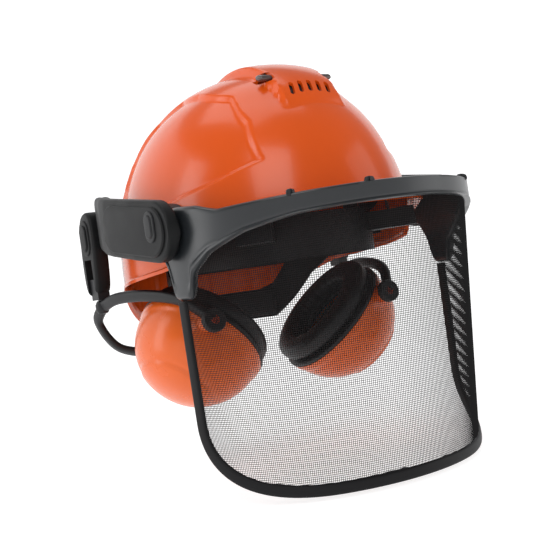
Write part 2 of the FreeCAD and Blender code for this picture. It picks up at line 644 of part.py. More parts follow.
def makeCup():
    """The ear cup and what is inside it, drawn round the cup's own middle."""
    dome = egg("CupOut", "cupDeep", "cupLong", "cupTall")
    bosses = [rod("CupBossFront", "7", "12", "Y", "0-pinOut", "0-pinReach+0.8", "pinUp"),
              rod("CupBossRear", "7", "12", "Y", "0-pinOut", "pinReach-12.8", "pinUp")]
    bowl = cut("CupBowl", fuse("CupStock", dome, *bosses),
               egg("CupIn", "cupDeep-cupWall", "cupLong-cupWall", "cupTall-cupWall"))
    half = cut("CupHalf", bowl, box("CupAway", ("0", "100"), ("-100", "100"), ("-100", "100")))
    bores = [rod("CupBoreFront", "cupPin+runFit", "14", "Y", "0-pinOut", "0-pinReach-2", "pinUp"),
             rod("CupBoreRear", "cupPin+runFit", "14", "Y", "0-pinOut", "pinReach-12", "pinUp")]
    keep("cup_shell_right", cupPlace(cut("Cup", half, fuse("CupBores", *bores))))
    plate = cut("PlateRing", cupOval("PlateOut", "cupLong+1", "cupTall+1", "0.05", "plateThick"),
                cupOval("PlateHole", "0.62*cupLong", "0.58*cupTall", "0-1", "20"))
    keep("cup_plate_right", cupPlace(plate))
    ring = cupOval("CushionOut", "cupLong", "cupTall", "plateThick+0.05", "plateThick+cushionThick")
    hole = cupOval("CushionHole", "0.58*cupLong", "0.54*cupTall", "0", "60")
    keep("cup_cushion_right", cupPlace(softEdge("Cushion", cut("CushionRing", ring, hole))))
    foam = cupOval("FoamBlock", "0.7*cupLong", "0.66*cupTall", "-14", "0-0.1")
    keep("cup_foam_right", cupPlace(foam))
    for name in ("cup_shell", "cup_plate", "cup_cushion", "cup_foam"):
        mirrored(name)


def softEdge(name, thing):
    """Round both faces of the cushion ring."""
    doc.recompute()
    made = doc.addObject("Part::Fillet", name)
    made.Base = thing
    rims = [i + 1 for i, e in enumerate(thing.Shape.Edges) if abs(e.BoundBox.XLength) < 0.01]
    made.Edges = [(i, 5.0, 5.0) for i in rims]
    return made


def makeCupPins():
    keep("cup_pin_front_right", cupRod("PinFront", "cupPin", "13.4", "0-pinReach-5.8"))
    keep("cup_pin_rear_right", cupRod("PinRear", "cupPin", "13.4", "pinReach-7.6"))
    mirrored("cup_pin_front")
    mirrored("cup_pin_rear")


# ---------------------------------------------------------------- put it together
keep("shell", makeShell())
limits["inside"] = domeBody("DomeLimitIn", "(wall+0.05)")
limits["outside"] = domeBody("DomeLimitOut", "(0-0.05)")
keep("vent_slider", makeSlider())
makeHeadgear()
makeRatchet()
makeBrow(makeScreen())
for clip in (("a", "-72", "-158.5", "47.1"), ("b", "-25", "-179.8", "48.4"), ("c", "76", "-155.4", "46.9")):
    makeClip(*clip)
makePins()
makeAdapter(makeArm())
makeLink()
makeBlock()
makeYoke()
makeCup()
makeCupPins()
doc.recompute()

bad = []
for thing in doc.Objects:
    if "Invalid" in thing.State or "Error" in thing.State:
        bad.append((thing.Name, thing.State))
for name, thing in nodes.items():
    if thing.Shape.isNull() or not thing.Shape.isValid() or thing.Shape.Volume < 1:
        bad.append((name, "shape"))
if bad:
    raise RuntimeError("pieces not right: %s" % bad[:12])

os.makedirs("parts", exist_ok=True)
for name, thing in nodes.items():
    thing.Shape.exportStep("parts/%s.step" % name)
    print("%-26s %9.1f mm3  solids %d" % (name, thing.Shape.Volume, len(thing.Shape.Solids)))
print("pieces", len(nodes))
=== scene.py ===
import bpy
import bmesh
import math
import numpy as np
from mathutils import Matrix, Vector


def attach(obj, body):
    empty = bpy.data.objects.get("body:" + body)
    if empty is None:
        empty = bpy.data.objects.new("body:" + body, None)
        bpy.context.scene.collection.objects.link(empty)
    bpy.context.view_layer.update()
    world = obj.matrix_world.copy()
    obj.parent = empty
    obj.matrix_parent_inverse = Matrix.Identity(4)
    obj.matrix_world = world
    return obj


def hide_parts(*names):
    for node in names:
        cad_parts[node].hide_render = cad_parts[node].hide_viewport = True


# Forestry helmet with a wire face screen and ear cups. Wearer's front is -Y, wearer's right is -X.
# Shapes are worked out in millimetres and put into the meshes in metres.

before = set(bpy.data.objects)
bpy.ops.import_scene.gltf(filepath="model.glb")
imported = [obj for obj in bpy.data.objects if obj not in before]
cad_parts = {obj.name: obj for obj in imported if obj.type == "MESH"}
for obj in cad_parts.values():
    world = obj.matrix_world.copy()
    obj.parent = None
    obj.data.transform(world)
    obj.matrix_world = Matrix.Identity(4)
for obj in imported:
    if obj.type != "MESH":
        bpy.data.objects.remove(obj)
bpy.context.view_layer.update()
scene = bpy.context.scene
mm = 0.001
rng = np.random.default_rng(7)


# colours and finishes

def linear(red, green, blue):
    # screen colour from 0 to 255 into the straight-line values that shaders use
    c = np.array([red, green, blue]) / 255.0
    return tuple(np.where(c <= 0.04045, c / 12.92, ((c + 0.055) / 1.055) ** 2.4)) + (1.0,)


def startLook(name):
    look = bpy.data.materials.new(name)
    look.use_nodes = True
    nodes = look.node_tree.nodes
    return look, nodes, look.node_tree.links, nodes["Principled BSDF"]


def shadeDrift(nodes, links, shader, colour, drift, scale):
    # base colour wanders a little lighter and darker over the surface
    place = nodes.new("ShaderNodeTexCoord")
    noise = nodes.new("ShaderNodeTexNoise")
    noise.inputs["Scale"].default_value = scale
    noise.inputs["Detail"].default_value = 3
    ramp = nodes.new("ShaderNodeValToRGB")
    low = [min(1, v * (1 - drift)) for v in colour[:3]] + [1]
    high = [min(1, v * (1 + drift)) for v in colour[:3]] + [1]
    ramp.color_ramp.elements[0].color = low
    ramp.color_ramp.elements[0].position = 0.3
    ramp.color_ramp.elements[1].color = high
    ramp.color_ramp.elements[1].position = 0.7
    links.new(place.outputs["Object"], noise.inputs["Vector"])
    links.new(noise.outputs["Fac"], ramp.inputs["Fac"])
    links.new(ramp.outputs["Color"], shader.inputs["Base Color"])
    return place, noise


def fineBump(nodes, links, shader, place, scale, depth, strength):
    # small height changes from a fine noise, as moulded plastic and rubber have
    grain = nodes.new("ShaderNodeTexNoise")
    grain.inputs["Scale"].default_value = scale
    grain.inputs["Detail"].default_value = 2
    bump = nodes.new("ShaderNodeBump")
    bump.inputs["Strength"].default_value = strength
    bump.inputs["Distance"].default_value = depth
    links.new(place.outputs["Object"], grain.inputs["Vector"])
    links.new(grain.outputs["Fac"], bump.inputs["Height"])
    links.new(bump.outputs["Normal"], shader.inputs["Normal"])
    return bump


def roughDrift(nodes, links, shader, place, low, high, scale):
    # gloss is a little uneven, as handled plastic is
    noise = nodes.new("ShaderNodeTexNoise")
    noise.inputs["Scale"].default_value = scale
    noise.inputs["Detail"].default_value = 4
    span = nodes.new("ShaderNodeMapRange")
    span.inputs["To Min"].default_value = low
    span.inputs["To Max"].default_value = high
    links.new(place.outputs["Object"], noise.inputs["Vector"])
    links.new(noise.outputs["Fac"], span.inputs["Value"])
    links.new(span.outputs["Result"], shader.inputs["Roughness"])


def plasticLook(name, colour, rough, drift=0.05, grain=1800, depth=0.00004, strength=0.3,
                coat=0.0, shine=0.5):
    look, nodes, links, shader = startLook(name)
    place, _ = shadeDrift(nodes, links, shader, colour, drift, 14)
    fineBump(nodes, links, shader, place, grain, depth, strength)
    roughDrift(nodes, links, shader, place, rough * 0.85, rough * 1.2, 45)
    shader.inputs["Coat Weight"].default_value = coat
    shader.inputs["Coat Roughness"].default_value = 0.06
    shader.inputs["IOR"].default_value = 1.5
    shader.inputs["Specular IOR Level"].default_value = shine
    return look


def wovenLook(name, colour, light, pitch, rough=0.9):
    # two crossed stripe waves make an over-and-under weave
    look, nodes, links, shader = startLook(name)
    place = nodes.new("ShaderNodeTexCoord")
    waves = []
    for axis in ("X", "Z"):
        wave = nodes.new("ShaderNodeTexWave")
        wave.bands_direction = axis
        wave.inputs["Scale"].default_value = 1.0 / pitch / 6.283
        wave.inputs["Distortion"].default_value = 0.4
        links.new(place.outputs["Object"], wave.inputs["Vector"])
        waves.append(wave)
    both = nodes.new("ShaderNodeMath")
    both.operation = "MULTIPLY"
    links.new(waves[0].outputs["Fac"], both.inputs[0])
    links.new(waves[1].outputs["Fac"], both.inputs[1])
    ramp = nodes.new("ShaderNodeValToRGB")
    ramp.color_ramp.elements[0].color = colour
    ramp.color_ramp.elements[1].color = light
    links.new(both.outputs["Value"], ramp.inputs["Fac"])
    links.new(ramp.outputs["Color"], shader.inputs["Base Color"])
    bump = nodes.new("ShaderNodeBump")
    bump.inputs["Strength"].default_value = 0.5
    bump.inputs["Distance"].default_value = 0.0003
    links.new(both.outputs["Value"], bump.inputs["Height"])
    links.new(bump.outputs["Normal"], shader.inputs["Normal"])
    shader.inputs["Roughness"].default_value = rough
    shader.inputs["Sheen Weight"].default_value = 0.25
    return look


def knitLook(name, colour, topHighlightColour, highlightLow, highlightHigh):
    # brushed knit: soft fleck noise, with a painted highlight along the upper edge
    look, nodes, links, shader = startLook(name)
    place, noise = shadeDrift(nodes, links, shader, colour, 0.3, 900)
    ramp = noise.outputs["Fac"].links[0].to_node
    # the band's top edge is blended to a lighter colour as a painted highlight
    split = nodes.new("ShaderNodeSeparateXYZ")
    span = nodes.new("ShaderNodeMapRange")
    span.inputs["From Min"].default_value = highlightLow
    span.inputs["From Max"].default_value = highlightHigh
    mix = nodes.new("ShaderNodeMix")
    mix.data_type = "RGBA"
    mix.inputs[7].default_value = topHighlightColour
    links.new(place.outputs["Object"], split.inputs["Vector"])
    links.new(split.outputs["Z"], span.inputs["Value"])
    links.new(span.outputs["Result"], mix.inputs[0])
    links.new(ramp.outputs["Color"], mix.inputs[6])
    links.new(mix.outputs[2], shader.inputs["Base Color"])
    fineBump(nodes, links, shader, place, 1400, 0.0003, 0.6)
    shader.inputs["Roughness"].default_value = 0.92
    shader.inputs["Sheen Weight"].default_value = 0.3
    return look


def metalLook(name, colour, rough):
    look, nodes, links, shader = startLook(name)
    place, _ = shadeDrift(nodes, links, shader, colour, 0.08, 60)
    roughDrift(nodes, links, shader, place, rough * 0.8, rough * 1.25, 300)
    shader.inputs["Metallic"].default_value = 1.0
    return look


looks = {
    "shell": plasticLook("shellOrange", linear(222, 84, 14), 0.22, drift=0.03, grain=500,
                         depth=0.00003, strength=0.12, coat=0.1, shine=0.4),
    "cup": plasticLook("cupOrange", linear(226, 98, 28), 0.26, drift=0.03, grain=600,
                       depth=0.00003, strength=0.12, coat=0.1, shine=0.4),
    "brow": plasticLook("browGrey", linear(30, 33, 36), 0.3,
                        grain=2600, depth=0.00003, strength=0.25, shine=0.55),
    "arm": plasticLook("armSoftTouch", linear(17, 18, 19), 0.5,
                        grain=3200, depth=0.00004, strength=0.3, shine=0.24),
    "black": plasticLook("blackNylon", linear(24, 25, 27), 0.45,
                        grain=2400, depth=0.00004, strength=0.3, shine=0.35),
    "band": plasticLook("bandPlastic", linear(24, 25, 27), 0.5,
                        grain=2000, depth=0.00004, strength=0.3, shine=0.3),
    "tab": plasticLook("tabGrey", linear(74, 60, 58), 0.16,
                        grain=900, depth=0.00002, strength=0.1, coat=0.5),
    "trim": plasticLook("edgeRubber", linear(16, 15, 17), 0.5,
                        grain=2200, depth=0.00006, strength=0.4, shine=0.22),
    "pin": plasticLook("pinOrange", linear(214, 74, 34), 0.3),
    "cushion": plasticLook("cushionVinyl", linear(24, 24, 26), 0.42,
                        grain=1500, depth=0.0001, strength=0.4, shine=0.3),
    "foam": plasticLook("openFoam", linear(44, 44, 46), 0.95, grain=2600, depth=0.0004, strength=0.9),
    # the lighter second colour on both knits is a painted highlight along their upper edges
    "knit": knitLook("sweatKnit", linear(26, 27, 29), linear(120, 128, 134), 0.0335, 0.0352),
    "pad": knitLook("padKnit", linear(26, 27, 29), linear(40, 42, 45), -0.018, -0.016),
    "webbing": wovenLook("crownWebbing", linear(26, 26, 28), linear(62, 62, 66), 0.0012),
    "wire": plasticLook("wireBlack", linear(20, 19, 20), 0.5, grain=3000, shine=0.15),
    "steel": metalLook("pinSteel", linear(175, 175, 180), 0.3),
}


# mesh building

def gridFaces(rows, cols, wrapRows=False, wrapCols=False, start=0):
    # quads between neighbouring rows and columns of a grid of points
    r, c = np.meshgrid(np.arange(rows if wrapRows else rows - 1),
                       np.arange(cols if wrapCols else cols - 1), indexing="ij")
    r2 = (r + 1) % rows
    c2 = (c + 1) % cols
    quads = np.stack([r * cols + c, r * cols + c2, r2 * cols + c2, r2 * cols + c], -1)
    return (quads.reshape(-1, 4) + start).tolist()


def tubeMesh(rings, closed=False):
    # rings of points joined one to the next, with a flat cap on each open end
    rows, cols = rings.shape[:2]
    faces = gridFaces(rows, cols, wrapRows=closed, wrapCols=True)
    if not closed:
        faces.append(list(range(cols))[::-1])
        faces.append(list(range((rows - 1) * cols, rows * cols)))
    return rings.reshape(-1, 3), faces


def joinMeshes(*parts):
    points = []
    faces = []
    start = 0
    for somePoints, someFaces in parts:
        points.append(somePoints)
        faces += [[i + start for i in face] for face in someFaces]
        start += len(somePoints)
    return np.concatenate(points), faces


def newMesh(name, shape):
    # a mesh in metres whose faces all point outwards
    points, faces = shape
    mesh = bpy.data.meshes.new(name)
    mesh.from_pydata((np.asarray(points) * mm).tolist(), [], faces)
    work = bmesh.new()
    work.from_mesh(mesh)
    bmesh.ops.recalc_face_normals(work, faces=work.faces)
    work.to_mesh(mesh)
    work.free()
    return mesh


def addPiece(name, shape, body, look, stands=(), sharp=40):
    mesh = newMesh(name, shape)
    mesh.shade_smooth()
    mesh.set_sharp_from_angle(angle=math.radians(sharp))
    mesh.materials.append(looks[look])
    piece = bpy.data.objects.new(name, mesh)
    scene.collection.objects.link(piece)
    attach(piece, body)
    if stands:
        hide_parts(*stands)
    return piece


def mirrorShape(shape, axis=(-1, 1, 1)):
    points, faces = shape
    return points * np.array(axis, float), [face[::-1] for face in faces]


def bothSides(name, shape, body, look, stands=(), sharp=40):
    # one piece for the wearer's right and its mirror image for the left
    pair = []
    for side, made in (("right", shape), ("left", mirrorShape(shape))):
        names = ["%s_%s" % (node, side) for node in stands]
        whose = body if body == "helmet" else "%s_%s" % (body, side)
        pair.append(addPiece("%s_%s" % (name, side), made, whose, look, names, sharp))
    return pair


def cutWith(piece, cutter):
    # take a closed shape out of a piece and keep the result in its mesh
    tool = bpy.data.objects.new("cutter", newMesh("cutter", cutter))
    scene.collection.objects.link(tool)
    cut = piece.modifiers.new("cut", "BOOLEAN")
    cut.object = tool
    cut.solver = "EXACT"
    done = bpy.data.meshes.new_from_object(piece.evaluated_get(bpy.context.evaluated_depsgraph_get()))
    piece.modifiers.clear()
    old = piece.data
    piece.data = done
    bpy.data.meshes.remove(old)
    bpy.data.objects.remove(tool)
    done.set_sharp_from_angle(angle=math.radians(40))
    return piece


def closedOutline(corners, passes=3, count=120):
    # corner cutting rounds a closed outline, then its points are spaced evenly
    p = np.array(corners, float)
    for _ in range(passes):
        q = np.roll(p, -1, 0)
        p = np.stack([0.75 * p + 0.25 * q, 0.25 * p + 0.75 * q], 1).reshape(-1, 2)
    loop = np.vstack([p, p[:1]])
    reach = np.concatenate([[0], np.cumsum(np.hypot(*np.diff(loop, axis=0).T))])
    want = np.linspace(0, reach[-1], count, endpoint=False)
    return np.stack([np.interp(want, reach, loop[:, 0]), np.interp(want, reach, loop[:, 1])], -1)


def capsuleOutline(a, b, radius, count=96):
    # two half circles joined by straight sides
    a = np.array(a, float)
    b = np.array(b, float)
    along = b - a
    turn = math.atan2(along[1], along[0]) if np.hypot(*along) else 0
    half = count // 2
    t = np.linspace(-math.pi / 2, math.pi / 2, half)
    near = np.stack([np.cos(t + turn), np.sin(t + turn)], -1) * radius
    return np.vstack([b + near, a - near])


def outlineNormals(outline):
    ahead = np.roll(outline, -1, 0) - np.roll(outline, 1, 0)
    out = np.stack([ahead[:, 1], -ahead[:, 0]], -1)
    out /= np.maximum(np.linalg.norm(out, axis=1, keepdims=True), 1e-9)
    middle = outline.mean(0)
    if np.sum((outline - middle) * out) < 0:
        out = -out
    return out


def roundedPlate(outline, low, high, edge, steps=5, taper=0.0):
    # an outline in the side view, pushed out along X, its rims rounded by quarter circles
    out = outlineNormals(outline)
    a = np.linspace(0, math.pi / 2, steps)
    inset = np.concatenate([edge * (1 - np.sin(a)), (edge * (1 - np.cos(a)) + taper)])
    level = np.concatenate([low + edge * (1 - np.cos(a)), high - edge * (1 - np.sin(a))])
    ring = outline[None] - inset[:, None, None] * out[None]
    x = np.broadcast_to(level[:, None, None], ring.shape[:2] + (1,))
    return tubeMesh(np.concatenate([x, ring], -1))


def block(low, high):
    # a plain box between two corners
    (x0, y0, z0), (x1, y1, z1) = low, high
    ring = np.array([[x0, y0], [x1, y0], [x1, y1], [x0, y1]])
    rings = np.stack([np.column_stack([ring, np.full(4, z)]) for z in (z0, z1)])
    return tubeMesh(rings)


def turned(profile, count=48):
    # a profile of radius and height spun round the Z axis
    profile = np.array(profile, float)
    t = np.linspace(0, 2 * math.pi, count, endpoint=False)
    r = profile[:, 0][:, None]
    z = np.broadcast_to(profile[:, 1][:, None], (len(profile), count))
    rings = np.stack([r * np.cos(t), r * np.sin(t), z], -1)
    return tubeMesh(rings)


def smoothPath(points, count):
    # a cubic through the points whose slopes come from their neighbours
    p = np.array(points, float)
    ends = np.vstack([2 * p[0] - p[1], p, 2 * p[-1] - p[-2]])
    t = np.linspace(0, len(p) - 1, count)
    i = np.minimum(t.astype(int), len(p) - 2)
    u = (t - i)[:, None]
    a, b, c, d = ends[i], ends[i + 1], ends[i + 2], ends[i + 3]
    return 0.5 * (2 * b + (c - a) * u + (2 * a - 5 * b + 4 * c - d) * u ** 2
                  + (3 * b - a - 3 * c + d) * u ** 3)


def sweep(path, section, upright):
    # a flat section carried along a path; its first axis stays as near a given direction as it can
    ahead = np.gradient(path, axis=0)
    ahead /= np.linalg.norm(ahead, axis=1, keepdims=True)
    side = np.array(upright, float) - (ahead @ np.array(upright, float))[:, None] * ahead
    side /= np.linalg.norm(side, axis=1, keepdims=True)
    up = np.cross(ahead, side)
    section = np.broadcast_to(section, (len(path),) + np.shape(section)[-2:])
    return path[:, None] + section[..., :1] * side[:, None] + section[..., 1:] * up[:, None]


def superOval(a, b, power, count):
    # an oval with fuller corners as the power grows past two
    t = np.linspace(0, 2 * math.pi, count, endpoint=False)
    return np.stack([a * np.sign(np.cos(t)) * np.abs(np.cos(t)) ** (2 / power),
                     b * np.sign(np.sin(t)) * np.abs(np.sin(t)) ** (2 / power)], -1)


def ease(x, low, high):
    t = np.clip((x - low) / (high - low), 0, 1)
    return t * t * (3 - 2 * t)


# shell

shellSizes = {
    "halfWidth": 110.2, "halfLength": 141.7, "height": 146.5, "raise": 9.2, "fullness": 2.29, "wall": 2.5,
    "peakWidth": 103.0, "peakReach": 153.0, "rimBead": 1.1,
    "humpWidth": 90.0, "humpLength": 77.0, "humpHeight": 56.0, "humpBack": -24.0,
    "humpRaise": 104.0, "back": 7.0,
    "humpFlank": 25.0, "recess": 3.2, "tuck": 120.0, "napeRib": 2.0, "napeRibCount": 44,
    "slotPitch": 7.8, "slotWide": 3.6, "slotLong": 12.0, "slotDeep": 18.0,
    "slotTilt": 42.0, "slotLean": -14.0,
    "ventY": -93.0, "ventZ": 132.0, "ventCrown": 0.006,
    "tabInner": 21.5, "tabOuter": 30.0, "tabFront": -81.0, "tabRear": -62.0,
    "tabLow": 137.4, "tabHigh": 145.0,
    "shutterThick": 1.8, "shutterInset": 4.0, "shutterHalf": 20.5,
    "shutterFront": -98.0, "shutterRear": -60.0,
}
flangeRows = 9
panelEdge = np.array([(-101, 78), (-84, 107), (-60, 130), (-19, 141), (15, 144), (45, 133), (66, 108),
                      (70, 84), (50, 66), (0, 58), (-39, 60), (-77, 68)], float)


def rimHeight(y):
    # lower edge of the shell: high in front under the peak, low at the nape
    places = [-160, -104, -84, -62, -30, 10, 50, 80, 104, 122, 160]
    heights = [42, 42, 36, 17, 13, 10, 7, -3, -20, -32, -34]
    fine = np.linspace(-160, 160, 321)
    line = np.interp(fine, places, heights)
    kernel = np.hanning(15)
    line = np.convolve(np.pad(line, 7, mode="edge"), kernel / kernel.sum(), "valid")
    return np.interp(y, fine, line)


def insidePanel(y, z, edge):
    # signed distance to a closed outline, positive inside
    a = edge
    b = np.roll(edge, -1, 0)
    p = np.stack([y, z], -1)[..., None, :]
    along = b - a
    t = np.clip(((p - a) * along).sum(-1) / (along ** 2).sum(-1), 0, 1)
    gap = np.linalg.norm(p - a - t[..., None] * along, axis=-1).min(-1)
    crosses = (a[:, 1] > p[..., 1]) != (b[:, 1] > p[..., 1])
    rise = np.where(along[:, 1] == 0, 1e-9, along[:, 1])
    cutY = a[:, 0] + (p[..., 1] - a[:, 1]) * along[:, 0] / rise
    inside = (np.sum(crosses & (p[..., 0] < cutY), -1) % 2) == 1
    return np.where(inside, gap, -gap)


def gridNormals(p):
    # cross product of the two grid directions, the second one wrapping round
    down = np.gradient(p, axis=0)
    round_ = np.roll(p, -1, 1) - np.roll(p, 1, 1)
    n = np.cross(down, round_)
    n /= np.maximum(np.linalg.norm(n, axis=2, keepdims=True), 1e-9)
    centre = p.mean((0, 1))
    return n if np.sum(n * (p - centre)) > 0 else -n


def shellSurface(s):
    # crown to rim along each meridian: a full-shouldered dome, an upright wall, then the peak's flange
    rows, cols = 150, 300
    phi = np.linspace(0, 2 * math.pi, cols, endpoint=False)
    reach = 1 / np.sqrt((np.cos(phi) / s["halfWidth"]) ** 2 + (np.sin(phi) / s["halfLength"]) ** 2)
    rim = rimHeight(reach * np.sin(phi) * 0.99)
    above = np.clip((rim - s["raise"]) / s["height"], 0, 1) ** (s["fullness"] / 2)
    end = np.where(rim > s["raise"], 1 - np.arcsin(above) / (math.pi / 2), 1 + (s["raise"] - rim) / s["tuck"])
    t = np.linspace(0.004, 1, rows)[:, None] * end
    beta = math.pi / 2 * (1 - np.minimum(t, 1))
    k = 2 / s["fullness"]
    rho = np.cos(beta) ** k
    z = s["raise"] + s["height"] * np.sin(beta) ** k - np.maximum(t - 1, 0) * s["tuck"]
    x = reach * rho * np.cos(phi)
    y = reach * rho * np.sin(phi) + s["back"] * (1 - ease(z, 120, 150))
    base = np.stack([x, y, z], -1)
    hump = 1 - ((y - s["humpBack"]) / s["humpLength"]) ** 2 - (x / s["humpWidth"]) ** 2
    humpZ = s["humpRaise"] + s["humpHeight"] * np.sqrt(np.maximum(hump, 0))
    lift = np.maximum(humpZ - z, 0) * (hump > 0)
    flank = 1 - ease(np.abs(x), s["humpFlank"] - 1.2, s["humpFlank"] + 1.6)
    base[..., 2] += lift * flank * (1 - ease(y, 45, 75))
    # the recessed panel on each side
    normal = gridNormals(base)
    depth = s["recess"] * ease(insidePanel(y, z, panelEdge), -1.6, 1.8) * ease(np.abs(x), 22, 40)
    base = base - depth[..., None] * normal
    # flange rows: out along the plan direction, dropping a little
    peak = 1 / np.sqrt((np.cos(phi) / s["peakWidth"]) ** 2 + (np.sin(phi) / s["peakReach"]) ** 2)
    last = base[-1]
    lastReach = np.hypot(last[:, 0], last[:, 1])
    width = np.where(np.sin(phi) < 0, np.maximum(peak - lastReach, 0), 0) + s["rimBead"]
    f = np.linspace(0, 1, flangeRows + 1)[1:, None]
    out = width * f
    drop = 0.10 * out + 0.9 * (1 - (1 - f) ** 2)
    flange = np.stack([last[:, 0] + out * np.cos(phi), last[:, 1] + out * np.sin(phi),
                       last[:, 2] - drop], -1)
    return np.concatenate([base, flange]), phi


def makeShell(s):
    outer, phi = shellSurface(s)
    normal = gridNormals(outer)
    # the wall's thickness turns from square to the dome to upright over the flange
    upright = np.array([0, 0, 1.0])
    normal[-flangeRows:] = upright
    turning = slice(-flangeRows - 5, -flangeRows + 1)
    blend = np.linspace(0, 1, 6)[:, None, None]
    normal[turning] = normal[turning] * (1 - blend) + upright * blend * 0.6 + normal[turning] * blend * 0.4
    # ribs stand up inside the nape
    height = outer[..., 2]
    rear = ease(outer[..., 1], 60, 85) * (1 - ease(height, 20, 40))
    fromRim = np.arange(outer.shape[0])[::-1][:, None]
    ribs = np.maximum(np.cos(phi * s["napeRibCount"]), 0) ** 8 * ease(fromRim, 14, 26)
    inner = outer - (s["wall"] + s["napeRib"] * rear * ribs)[..., None] * normal
    rows, cols = outer.shape[:2]
    count = rows * cols
    faces = gridFaces(rows, cols, wrapCols=True)
    faces += [face[::-1] for face in gridFaces(rows, cols, wrapCols=True, start=count)]
    a = (rows - 1) * cols + np.arange(cols)
    b = (rows - 1) * cols + (np.arange(cols) + 1) % cols
    faces += np.stack([a, b, b + count, a + count], -1).tolist()
    faces.append(list(range(cols)))
    faces.append([count + i for i in range(cols)][::-1])
    shape = np.concatenate([outer.reshape(-1, 3), inner.reshape(-1, 3)]), faces
    return addPiece("helmet_shell", shape, "helmet", "shell", ["shell"], 32)


def slotCutter(s, i):
    # a leaning slot with round ends, cut down through the front of the hump
    x = (i - 2) * s["slotPitch"]
    radius = s["slotWide"] / 2
    end = 0.5 * s["slotLong"] - radius
    ring = capsuleOutline((0, -end), (0, end), radius, 28)
    half = s["slotDeep"] / 2
    rings = np.stack([np.column_stack([ring, np.full(len(ring), z)]) for z in (-half, half)])
    tilt, lean = math.radians(s["slotTilt"]), math.radians(s["slotLean"])
    turn = Matrix.Rotation(tilt, 3, "X") @ Matrix.Rotation(lean, 3, "Z")
    points = rings @ np.array(turn).T + np.array([x, s["ventY"], s["ventZ"] - s["ventCrown"] * x * x])
    return tubeMesh(points)


def makeVents(shell, s):
    for i in range(5):
        cutWith(shell, slotCutter(s, i))
    for sign in (-1, 1):
        near, far = sorted((sign * s["tabInner"], sign * s["tabOuter"]))
        cutWith(shell, block((near, s["tabFront"], s["tabLow"]), (far, s["tabRear"], s["tabHigh"])))


def makeSlider(s):
    # the shutter under the hump with its two finger tabs
    rows, cols = 30, 40
    y = np.linspace(s["shutterFront"], s["shutterRear"], rows)[:, None] + np.zeros((1, cols))
    x = np.linspace(-s["shutterHalf"], s["shutterHalf"], cols)[None] + np.zeros((rows, 1))
    inset = s["shutterInset"]
    body = 1 - ((y - s["humpBack"]) / (s["humpLength"] - inset)) ** 2 - (x / (s["humpWidth"] - inset)) ** 2
    under = s["humpRaise"] + (s["humpHeight"] - inset) * np.sqrt(np.maximum(body, 0.02))
    top = np.stack([x, y, under], -1).reshape(-1, 3)
    low = np.stack([x, y, under - s["shutterThick"]], -1).reshape(-1, 3)
    count = rows * cols
    faces = gridFaces(rows, cols) + [f[::-1] for f in gridFaces(rows, cols, start=count)]
    edge = np.concatenate([np.arange(cols), np.arange(1, rows) * cols + cols - 1,
                           (rows - 1) * cols + np.arange(cols - 2, -1, -1),
                           np.arange(rows - 2, 0, -1) * cols])
    nextEdge = np.roll(edge, -1)
    faces += np.stack([edge, nextEdge, nextEdge + count, edge + count], -1).tolist()
    parts = [(np.concatenate([top, low]), faces)]
    for sign in (-1, 1):
        tab = roundedPlate(closedOutline([(-78, 137.8), (-69, 138.6), (-68.4, 143.6), (-76.5, 142.6)], 3, 48),
                           0, 11.5, 1.6, 5)
        points = tab[0] * np.array([sign, 1, 1]) + np.array([sign * 20, 0, 0])
        parts.append((points, tab[1]))
    return addPiece("vent_shutter", joinMeshes(*parts), "vent", "tab", ["vent_slider"])


# visor

visorSizes = {
    "browWide": 119.0, "browReach": 116.0, "browBack": -68.7, "browThick": 6.3, "armEnd": -17.0,
    "ledgeWide": 15.0,
    "pivotY": -32.0, "pivotZ": 38.0, "bossRadius": 15.0,
    "screenWide": 116.8, "screenReach": 112.6, "screenFlare": 0.9, "screenTaper": 6.8, "screenLean": 20.5,
    "screenDrop": 152.0, "trimWide": 8.0, "trimThick": 4.4, "cornerDeep": 72.0, "cornerRise": 50.0,
    "wirePitch": 1.4, "wireWide": 0.42, "wireStand": 0.12, "screenTop": 50.0, "screenTall": 210.0,
    "wireTop": 40.0, "trimTop": -13.0, "wireInset": 3.0, "wireRear": 3.2, "ledgeAngle": 74.0,
    "hookInset": 3.2, "hookSink": 2.8,
}
browTop = [(-200, 49.5), (-150, 46.5), (-117, 45), (-101, 50), (-80, 52), (-44, 52), (-17, 52)]
browLow = [(-200, 37), (-159, 33), (-133, 27), (-108, 17), (-91, 5), (-87, -10), (-84.5, -12), (-68.5, -12),
           (-66.5, -6), (-64, 6), (-56, 20), (-44, 24), (-17, 24)]


def softLine(y, points):
    # a bent line with its corners eased
    p = np.array(points, float)
    fine = np.linspace(p[0, 0], p[-1, 0], 400)
    line = np.interp(fine, p[:, 0], p[:, 1])
    kernel = np.hanning(9)
    line = np.convolve(np.pad(line, 4, mode="edge"), kernel / kernel.sum(), "valid")
    return np.interp(y, fine, line)


def browPath(v, grow):
    # seen from above: straight beside the ears, half an oval across the front
    straight = np.linspace(v["armEnd"], v["browBack"], 60)[:-1]
    u = np.linspace(0, math.pi, 230)
    wide = v["browWide"] - grow
    deep = v["browReach"] - grow
    x = np.concatenate([-wide + 0 * straight, -wide * np.cos(u), wide + 0 * straight])
    y = np.concatenate([straight, v["browBack"] - deep * np.sin(u), straight[::-1]])
    return x, y


